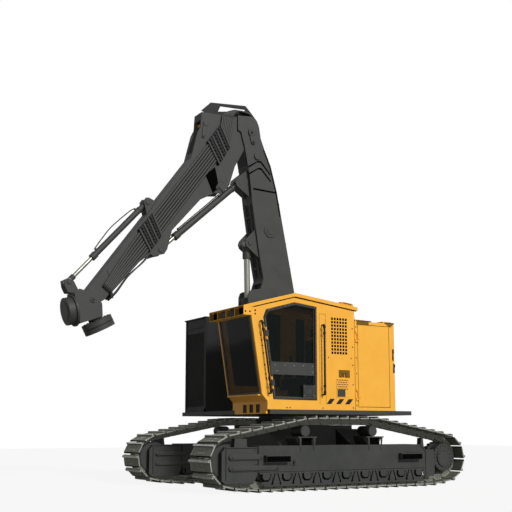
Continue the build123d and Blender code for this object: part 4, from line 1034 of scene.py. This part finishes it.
@dataclass
class Seat:
    """The operator's cushions, filled a little as cloth."""
    voxel: float = 0.012
    pressure: float = 4.0
    cap: float = 0.014
    margin: float = 0.03             # room for the swelling, and the rounding of the block
    frames: int = 20

    def cushion(self, name: str, low: Vector, high: Vector) -> Object:
        """Make one padded block that swells between its edges.

        Args:
            name: Name of the piece.
            low: Lowest corner in metres.
            high: Highest corner in metres.

        Returns:
            The finished cushion.
        """
        work = bmesh.new()
        bmesh.ops.create_cube(work, size=1.0)
        size, middle = high - low, (high + low) / 2
        for vert in work.verts:
            vert.co = Vector(vert.co[i] * (size[i] - self.margin) + middle[i] for i in range(3))
        bmesh.ops.bevel(work, geom=work.edges[:], offset=self.margin, segments=4, affect="EDGES", profile=0.5)
        data = bpy.data.meshes.new(name)
        work.to_mesh(data)
        work.free()
        made = linked(name, data)
        fine = made.modifiers.new("fine", "REMESH")
        fine.mode, fine.voxel_size = "VOXEL", self.voxel
        made = self.applied(made)
        self.inflate(made)
        made.data.shade_smooth()
        return made

    def applied(self, made: Object) -> Object:
        """Put an object's modifiers into its mesh."""
        data = evaluated(made)
        made.modifiers.clear()
        made.data = data
        return made

    def inflate(self, made: Object) -> None:
        """Blow the cover up a little as cloth, with no point moving past the cap."""
        before = [vert.co.copy() for vert in made.data.vertices]
        cloth = made.modifiers.new("cloth", "CLOTH")
        cloth.settings.use_pressure = True
        cloth.settings.uniform_pressure_force = self.pressure
        cloth.settings.effector_weights.gravity = 0.0
        scene = bpy.context.scene
        for step in range(1, self.frames + 1):
            scene.frame_set(step)
        ready = made.evaluated_get(bpy.context.evaluated_depsgraph_get())
        after = [vert.co.copy() for vert in ready.data.vertices]
        made.modifiers.clear()
        scene.frame_set(1)
        for vert, was, now in zip(made.data.vertices, before, after):
            moved = now - was
            vert.co = was + moved.normalized() * min(moved.length, self.cap) if moved.length else was

    def build(self) -> None:
        """Make the seat, the back and the head rest in place of the plain solids."""
        low, high = (Vector(corner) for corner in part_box("seat_cushions"))
        middle = (low.x + high.x) / 2
        blocks = {"seat_pad": ((middle - 0.25, -0.700, 1.562), (middle + 0.25, -0.190, 1.688)),
            "back_pad": ((middle - 0.24, -0.240, 1.694), (middle + 0.24, -0.112, 2.328)),
            "head_pad": ((middle - 0.13, -0.215, 2.334), (middle + 0.13, -0.112, 2.498))}
        for name, (near, far) in blocks.items():
            made = self.cushion(name, Vector(near), Vector(far))
            dress(made, CLOTH, "house")
            if name == "seat_pad":
                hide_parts("seat_cushions")


# ------------------------------------------------------------------ hoods, cooler, counterweight
@dataclass
class Hoods:
    """Sheet-metal bodies behind the cab and beside the boom."""
    left_x: float = 1437.0
    rear_y: float = 1030.0
    cooler: tuple = ((-1434.0, -676.0), (-1269.0, 430.0), (1180.0, 2775.0))

    def build(self) -> None:
        """Add all that is on the hoods and the cooler."""
        self.rear_box()
        self.cooler_front()
        self.louvres()

    def rear_box(self) -> None:
        """Latches, the gussets' painted shade below the caps, seam bolts and caps on the box behind the cab.
        """
        x = self.left_x
        BOLTS.place("hood_seam_bolts", "house", row((x, 252, 2480), (x, 252, 1260), 6), (1, 0, 0), 8, CAST,
            Head.BUTTON)
        latches = Shape("hood_latches", BLACK)
        for z_low, z_high, y in ((1980, 2160, 985), (1785, 1930, 1005)):
            latches.box((x - 22, x + 3), (y - 12, y + 12), (z_low, z_high))
            latches.box((x - 8, x + 9), (y - 16, y + 4), (z_low + 10, z_low + 52))
            latches.box((x - 8, x + 9), (y - 4, y + 16), (z_high - 60, z_high - 14))
        latches.done("house", 3)
        caps, under = Shape("hood_top_trim", GREY), Shape("hood_gussets", SHADED_YELLOW)
        caps.box((x - 330, x + 4), (258, 552), (2571, 2588)).box((x - 300, x + 4), (820, 1020), (2571, 2584))
        # Painted shade: dull olive faces below the caps, where the gussets lie in shade.
        under.prism([(266, 2571), (506, 2571), (504, 2522), (266, 2509)], x - 1, x + 3)
        under.prism([(822, 2571), (1018, 2571), (931, 2503)], x - 1, x + 3)
        caps.done("house", 3)
        under.done("house", 1)

    def cooler_front(self) -> None:
        """Bolts, frame and fine mesh of the cooler's front."""
        (x0, x1), (y0, _), (z0, z1) = self.cooler
        points = []
        for z in (z1 - 62, z1 - 118):
            points += row((x0 + 60, y0, z), (x1 - 90, y0, z), 5)
        BOLTS.place("cooler_bolts", "house", points, (0, -1, 0), 9, CAST)
        frame = Shape("cooler_frame", BLACK)
        for wide, tall in (((x0, x0 + 34), (z0, z1 - 22)), ((x1 - 60, x1), (z0, z1 - 22)),
                ((x0, x1), (z0, z0 + 60)), ((x0 + 34, x1 - 60), (z1 - 170, z1 - 148))):
            frame.box(wide, (y0 - 12, y0), tall)
        frame.done("house", 3)
        wires = Shape("cooler_mesh", CAST)
        low, high = z0 + 90, z1 - 262
        left, right = x0 + 52, x1 - 62
        lean = 0.7
        for k in range(-34, 16):
            xa, za = left + k * 44, low
            xb, zb = xa + (high - low) * lean, high
            if xa < left:
                za, xa = za + (left - xa) / lean, left
            if xb > right:
                zb, xb = zb - (xb - right) / lean, right
            if xb - xa > 30:
                wires.round((xa, y0 + 8, za), (xb, y0 + 8, zb), 4, 6)
        wires.done("house")

    def louvres(self) -> None:
        """Slats on the cooler's far side and the rear, and the exhaust's cap."""
        slats = Shape("cooler_side_louvres", BLACK)
        (x0, _), _, _ = self.cooler
        for k in range(16):
            z = 1420 + k * 70
            slats.prism([(-1050, z), (200, z), (200, z + 8), (-1050, z + 8)], x0 - 18, x0 - 1)
        slats.done("house", 1)
        rear = Shape("rear_louvres", YELLOW)
        for k in range(10):
            z = 2120 + k * 40
            rear.box((-700, 120), (self.rear_y - 1, self.rear_y + 16), (z, z + 8))
        rear.done("house", 1)
        Shape("exhaust_cap", CHROME).round((-850, 700, 2985), (-850, 700, 2994), 62, 32).done("house", 2)


# ------------------------------------------------------------------ arm
@dataclass
class Arm:
    """Boom, stick, wrist and cylinders with their plates, pins and hoses."""
    half: float = 165.0
    stick_half: float = 132.0
    root: SidePoint = (-1932.0, 5247.0)
    run: SidePoint = (-0.5911, -0.8065)
    elbow: SidePoint = (-816.0, 5865.0)
    # name, foot, eye, barrel's length and radius, collar's radius and length, pipe's gap and bow
    cylinders: tuple = (("lift", (-760, 1450), (-810, 3965), 1600, 92, 70, 252, 22, 22),
        ("crowd", (-985, 4985), (-2443, 3676), 1578, 55, 46, 150, 11, 2),
        ("tilt", (-2656, 4426), (-3895, 3055), 1305, 47, 44, 140, 22, 52))

    def on_stick(self, reach: float, up: float = 0.0) -> SidePoint:
        """The side point reach down the stick's upper edge and up above it."""
        return (self.root[0] + reach * self.run[0] + up * self.run[1],
            self.root[1] + reach * self.run[1] - up * self.run[0])

    def build(self) -> None:
        """Add everything on the arm."""
        self.boom_plates()
        self.stick_plates()
        self.wrist()
        self.cylinder_fittings()
        Hoses(self).build()

    def boom_plates(self) -> None:
        """Chevron ribs, bars and the boom's edge drawn in painted shade, rings and pin keepers on both faces
        of the boom.
        """
        for side, name in SIDES:
            face = ARM + side * self.half
            out = face + side * 8
            # Painted shade: dead black strips where the ribs and the boom's edge lie in shade.
            rib_shade = Shape(f"boom_ribs_{name}", RECESS)
            for y, z in ((-684, 5391), (-675, 5270)):
                rib_shade.prism([(y - 190, z - 120), (y, z), (y + 60, z), (y + 240, z - 190), (y + 240, z - 222),
                    (y + 50, z - 28), (y - 12, z - 28), (y - 190, z - 152)], face, out)
            rib_shade.prism([(-778, 4907), (-330, 4893), (-330, 4868), (-778, 4878)], face, out)
            edge = ((-566, 5602), (-444, 5334), (-322, 4899), (-237, 4474))
            for (y0, z0), (y1, z1) in zip(edge, edge[1:]):
                rib_shade.prism([(y0, z0), (y1, z1), (y1 - 20, z1 - 4), (y0 - 20, z0 - 4)], face - side,
                    out - side * 4)
            rib_shade.done("boom", 2)
            keeper = Shape(f"elbow_keeper_{name}", GREY)
            keeper.disc(face, self.elbow, side * 30, 66, 36)
            keeper.disc(face, (-781, 5700), side * 24, 44, 28)
            keeper.prism([(-870, 5860), (-762, 5870), (-738, 5700), (-824, 5694)], face, face + side * 22)
            keeper.disc(face, (-702, 5463), side * 26, 60, 36)
            keeper.done("boom", 3)
            bolts = [(face + side * 30, *self.elbow), (face + side * 24, -781, 5700)]
            BOLTS.place(f"elbow_bolts_{name}", "boom", bolts, (side, 0, 0), 24, CAST)
            ring = Shape(f"boom_ring_{name}", GREY)
            ring.disc(face, (-438, 4207), side * 14, 118, 48)
            ring.disc(face, (-438, 4207), side * 22, 70, 40)
            ring.disc(face - side * 67, (-985, 4985), side * 4, 40, 32)
            ring.done("boom", 2)
        self.front_pipes()

    def front_pipes(self) -> None:
        """Fittings and thin pipes on the boom's front face, between the lugs of both cylinders."""
        pipes = Shape("boom_front_pipes", CAST)
        faces = ((-592, 3441), (-650, 3751), (-733, 4263), (-788, 4620))
        for x in (-72, 72):
            for y, z in faces[:1] + faces[-1:]:
                pipes.round((ARM + x, y - 12, z - 24), (ARM + x, y - 14, z + 24), 15, 6)
        for x in (-24, 24):
            pipes.tube([(ARM + x, y - 9, z) for y, z in faces], 8.5, 12)
        pipes.done("boom")
        saddles = Shape("boom_pipe_saddles", BLACK)
        for y, z in ((-757, 4420), (-614, 3560)):
            saddles.box((ARM - 92, ARM + 92), (y - 26, y + 20), (z - 22, z + 22))
        saddles.done("boom", 3)

    def stick_plates(self) -> None:
        """Pin keepers, painted shade in the lug's pocket, and the lug's cheek, on both faces of the stick."""
        for side, name in SIDES:
            face = ARM + side * self.stick_half
            keep = Shape(f"stick_keepers_{name}", GREY)
            for (y0, z0), (y1, z1), wide in (((-1674, 5873), (-1712, 5650), 42),
                    ((-1340, 4958), (-1445, 4816), 48)):
                start, end = Vector((y0, z0)), Vector((y1, z1))
                ahead = (end - start).normalized()
                across = Vector((-ahead.y, ahead.x)) * wide
                keep.prism([tuple(start + across), tuple(end + across * 0.7), tuple(end - across * 0.7),
                    tuple(start - across)], face, face + side * 18)
                keep.disc(face, (y0, z0), side * 26, wide, 28)
                keep.disc(face, (y1, z1), side * 18, wide * 0.7, 24)
                keep.disc(face, (y1, z1), side * 28, 17, 6)
            keep.disc(face, (-3246, 3265), side * 9, 78, 36)
            keep.done("stick", 3)
            # Painted shade: a dead black plate stands for the shade in the lug's pocket.
            pocket = [(-1664, 5006), (-1500, 5159), (-1423, 4835), (-1526, 4715)]
            Shape(f"lug_pocket_{name}", RECESS).prism(pocket, face - side, face + side * 14).done("stick", 3)
            cheek = [(-1500, 5159), (-1376, 5235), (-1282, 4976), (-1331, 4743), (-1423, 4835)]
            Shape(f"lug_cheek_{name}", GREY).prism(cheek, face - side, face + side * 20).done("stick", 6)
        Shape("stick_bushing", BRONZE).disc(ARM - 100, (-1674, 5873), 200, 46, 32).done("stick", 2)

    def rim(self, middle: Vector, axis: Vector, radius: float, count: int) -> list[Vector]:
        """Points on a circle round an axis."""
        side = Vector((1, 0, 0))
        up = axis.cross(side)
        return [middle + (side * c + up * s) * radius for c, s in circle(count)]

    def wrist(self) -> None:
        """Bolts of the drum and the head flange, and covers of the wrist pins."""
        face, axis = Vector((ARM, -3914.0, 2612.0)), Vector((0, -0.9738, -0.2272))
        BOLTS.place("drum_bolts", "wrist", self.rim(face - axis * 105, axis, 225, 20), tuple(axis), 9, GREY)
        cap = Shape("drum_cap", GREY)
        cap.round(face, face + axis * 6, 150, 48)
        cap.round(face + axis * 5, face + axis * 10, 120, 48)
        cap.done("wrist", 2)
        middle, down = Vector((ARM, -3394.8, 2443.3)), Vector((0, 0.4636, -0.8861))
        top = self.rim(middle - down * 79.5, down, 200, 16)
        BOLTS.place("flange_bolts", "rotator", top, tuple(-down), 11, GREY)
        pins = [Vector((ARM + way * (self.half + 14), -3545, 2808)) for way in (-1, 1)]
        BOLTS.place("wrist_pin_bolts", "wrist", pins, [(-1, 0, 0), (1, 0, 0)], 20, CAST)
        Shape("flange_groove", BLACK).round(middle - down * 8, middle + down * 8, 239.5, 72).done("rotator")

    def cylinder_fittings(self) -> None:
        """Gland collars, ports and feed pipes on each barrel."""
        for name, foot, eye, reach, barrel, neck_r, neck_end, gap, bow in self.cylinders:
            start, end = Vector((ARM, *foot)), Vector((ARM, *eye))
            ahead = (end - start).normalized()
            fit = Shape(f"{name}_gland", GREY)
            out = Vector((0, ahead.z, -ahead.y))
            if out.y > 0:
                out = -out
            for low, high, more in ((reach - 96, reach - 2, 9), (150, 176, 6)):
                fit.round(start + ahead * low, start + ahead * high, barrel + more, 32)
            for at in (210, reach - 150):
                base = start + ahead * at
                fit.round(base + out * (barrel - 12), base + out * (barrel + 24), 20, 6)
            fit.done(f"{name}_barrel", 2)
            neck = Shape(f"{name}_rod_neck", GREY).round(end - ahead * neck_end, end - ahead * 48, neck_r, 32)
            neck.done(f"{name}_rod", 5)
            lift = barrel + gap
            line = ((212, lift), (330, lift + bow / 2), (reach / 2 + 60, lift + bow),
                (reach - 330, lift + bow / 2), (reach - 152, lift))
            pipe = Shape(f"{name}_pipe", CAST).tube([start + ahead * at + out * up for at, up in line], 9, 10)
            pipe.done(f"{name}_barrel")


@dataclass
class Hoses:
    """The flat bundle of hoses up the boom, over the elbow and down the stick."""
    arm: Arm
    count: int = 7
    radius: float = 21.0
    elbow_radius: float = 16.0
    boom_radius: float = 15.0
    pitch: float = 31.0              # from one hose to the next across the boom

    def stick_run(self) -> None:
        """Hoses on the stick's left face, one beside the other through both clamps."""
        near = ARM + self.arm.stick_half + self.radius
        hoses = Shape("stick_hose_run", HOSE)
        for k in range(self.count):
            share = k / (self.count - 1)
            lane = -84 - 262 * share
            top_y = -1360 + share * 200
            head = 6080 + share * 8
            low = -150 - 130 * share
            path = [(near, top_y, head - 8), (near, *self.arm.on_stick(-780 + 100 * share, lane + 10)),
                (near, *self.arm.on_stick(-300, lane)), (near, *self.arm.on_stick(500, lane)),
                (near, *self.arm.on_stick(1250, lane)), (near, *self.arm.on_stick(1700, lane - 5)),
                (near, *self.arm.on_stick(2250, (lane + low) / 2)), (near, *self.arm.on_stick(2665, low))]
            hoses.tube(path, self.radius, 10)
        for k in range(2):
            x = near - 34 - 34 * k
            hoses.tube([(x, *self.arm.on_stick(1690, -400)), (x, *self.arm.on_stick(1900, -415)),
                (x, *self.arm.on_stick(2250, -352 - 14 * k)), (x, *self.arm.on_stick(2560, -352 - 22 * k)),
                (x, -3282, 2835 - 20 * k)], 12, 10)
        made = hoses.done("stick")
        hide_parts("stick_hoses")
        made.data.shade_smooth()

    def boom_run(self) -> None:
        """Hoses up the back of the boom."""
        back = ((-554, 5602), (-430, 5334), (-308, 4899), (-223, 4474), (32, 3208))
        hoses = Shape("boom_hose_run", HOSE)
        for k in range(self.count):
            x = ARM + (k - (self.count - 1) / 2) * self.pitch
            hoses.tube([(x, y + 18, z + 3) for y, z in back], self.boom_radius, 10)
        made = hoses.done("boom")
        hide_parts("boom_hoses")
        straps = Shape("boom_hose_straps", BLACK)
        for y, z in ((-486, 5455), (-265, 4686), (-130, 4012), (-45, 3588)):
            straps.box((ARM - 118, ARM + 118), (y - 2, y + 36), (z - 28, z + 28))
        straps.done("boom", 3)

    def elbow_run(self) -> None:
        """Loose hoses from the boom's back through the guard's slot to the stick."""
        for k in range(self.count):
            share = k / (self.count - 1)
            x = ARM + (k - (self.count - 1) / 2) * self.pitch
            near = ARM + self.arm.stick_half + 17
            path = [(x, -534, 5605), (x, -610, 5790), (x + 10, -650, 6030),
                    (x * 0.7 - 20, -780, 6190 + 12 * share),
                    (near - 60 + 8 * share, -1010 - 30 * (1 - share), 6225),
                    (near, -1250 + 110 * share, 6150), (near, -1360 + share * 200, 6072 + share * 8)]
            hose = Shape(f"elbow_hose_{k + 1}", HOSE)
            hose.tube(path, self.elbow_radius, 10)
            made = hose.done(None)
            made.data.shade_smooth()
            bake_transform(made)

    def clamps(self) -> None:
        """Bars and toothed blocks over both clamps, and the hose bracket near the tip."""
        face = ARM + self.arm.stick_half + 46
        bars, points = Shape("clamp_bars", GREY), []
        for corners in (((-845, -37), (-406, -37), (-247, -430), (-661, -398)),
                ((1205, -49), (1587, -29), (1735, -386), (1382, -384))):
            (a, b, c, d) = [Vector(self.arm.on_stick(*corner)) for corner in corners]
            ahead = (b - a).normalized() * 15
            for share in (0.06, 0.36, 0.66, 0.95):
                top, low = a.lerp(b, share), d.lerp(c, share)
                bars.prism([tuple(top - ahead), tuple(top + ahead), tuple(low + ahead), tuple(low - ahead)],
                    face - 2, face + 18)
            for share in (0.21, 0.51, 0.81):
                top, low = a.lerp(b, share), d.lerp(c, share)
                for u in (k / 14 for k in range(1, 14, 2)):
                    at = top.lerp(low, u)
                    points.append((face + 8, at.x, at.y))
        bars.done("stick", 2)
        BOLTS.place("clamp_blocks", "stick", points, (1, 0, 0), 20, BLACK)
        bracket = Shape("tip_hose_bracket", BLACK)
        bracket.prism([(-3296, 3010), (-3246, 2990), (-3228, 2850), (-3266, 2838)], ARM - 60, face - 12)
        bracket.done("stick", 3)

    def build(self) -> None:
        """Make all hoses."""
        self.stick_run()
        self.boom_run()
        self.elbow_run()
        self.clamps()


# ------------------------------------------------------------------ studio
@dataclass
class Studio:
    """Pale floor, plain light and the camera."""
    eye: Point = (12.5255, -8.2227, 0.8865)
    azimuth: float = 59.037
    pitch: float = 8.277
    lens: float = 62.70
    shift: float = 0.0859
    floor_size: float = 60.0

    def camera(self) -> None:
        """Set the camera."""
        data = bpy.data.cameras.new("camera")
        data.sensor_width, data.lens, data.shift_y = 36.0, self.lens, self.shift
        data.clip_end = 200
        made = linked("camera", data)
        made.location = self.eye
        made.rotation_euler = (math.radians(90 + self.pitch), 0, math.radians(self.azimuth))
        bpy.context.scene.camera = made

    def floor(self) -> None:
        """Pale floor that keeps the object's shadow and reads white elsewhere."""
        data = bpy.data.meshes.new("floor")
        half = self.floor_size / 2
        data.from_pydata([(-half, -half, -0.002), (half, -half, -0.002), (half, half, -0.002),
            (-half, half, -0.002)], [], [(0, 1, 2, 3)])
        made = linked("floor", data)
        paint = bpy.data.materials.new("floor_white")
        tree = cleared(paint)
        path = add(tree, "ShaderNodeLightPath")
        both = add(tree, "ShaderNodeMath", {0: path.outputs["Is Camera Ray"],
            1: path.outputs["Is Transmission Ray"]}, operation="MAXIMUM")
        share = add(tree, "ShaderNodeMapRange", {"Value": both, "To Min": 0.0, "To Max": 0.82})
        glow = add(tree, "ShaderNodeEmission", {"Color": (1, 1, 1, 1), "Strength": 1.08})
        chalk = add(tree, "ShaderNodeBsdfDiffuse", {"Color": linear("#A6A6A4")})
        mix = add(tree, "ShaderNodeMixShader", {0: share, 1: chalk, 2: glow})
        add(tree, "ShaderNodeOutputMaterial", {"Surface": mix})
        data.materials.append(paint)

    def light(self) -> None:
        """A broad sun from the machine's left rear, a weak one that reaches behind panes, and an even sky."""
        for name, energy, shadow in (("sun", 2.45, True), ("fill", 0.55, False)):
            lamp = bpy.data.lights.new(name, "SUN")
            lamp.energy, lamp.angle, lamp.use_shadow = energy, math.radians(10), shadow
            made = linked(name, lamp)
            made.rotation_euler = Vector((-0.86, -0.10, -0.50)).to_track_quat("-Z", "Y").to_euler()
        world = bpy.data.worlds.new("even_sky")
        bpy.context.scene.world = world
        tree = cleared(world)
        path = add(tree, "ShaderNodeLightPath")
        seen = add(tree, "ShaderNodeMath", {0: path.outputs["Is Camera Ray"],
            1: path.outputs["Is Transmission Ray"]}, operation="MAXIMUM")
        unseen = add(tree, "ShaderNodeMapRange", {"Value": path.outputs["Is Glossy Ray"], "To Min": 0.17,
            "To Max": 0.55})
        level = add(tree, "ShaderNodeMapRange", {"Value": seen, "To Min": unseen, "To Max": 1.0})
        sky = add(tree, "ShaderNodeBackground", {"Color": (1, 1, 1, 1), "Strength": level})
        add(tree, "ShaderNodeOutputWorld", {"Surface": sky})

    def build(self) -> None:
        """Set the whole studio."""
        self.camera()
        self.floor()
        self.light()
        bpy.context.scene.view_settings.view_transform = "Standard"


def main() -> None:
    """Build every sub-assembly in order."""
    logging.basicConfig(level=logging.INFO, format="%(name)s: %(message)s")
    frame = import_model()
    Studio().build()
    for finish, names in COATS:
        for slot in (slot for name in names.split() for slot in frame["nodes"][name].material_slots):
            slot.material = finish.build()
    for assembly in (Tracks(), Undercarriage(), Cab(), Hoods(), Arm()):
        LOG.info("building %s", type(assembly).__name__)
        assembly.build()


if __name__ == "__main__":
    main()
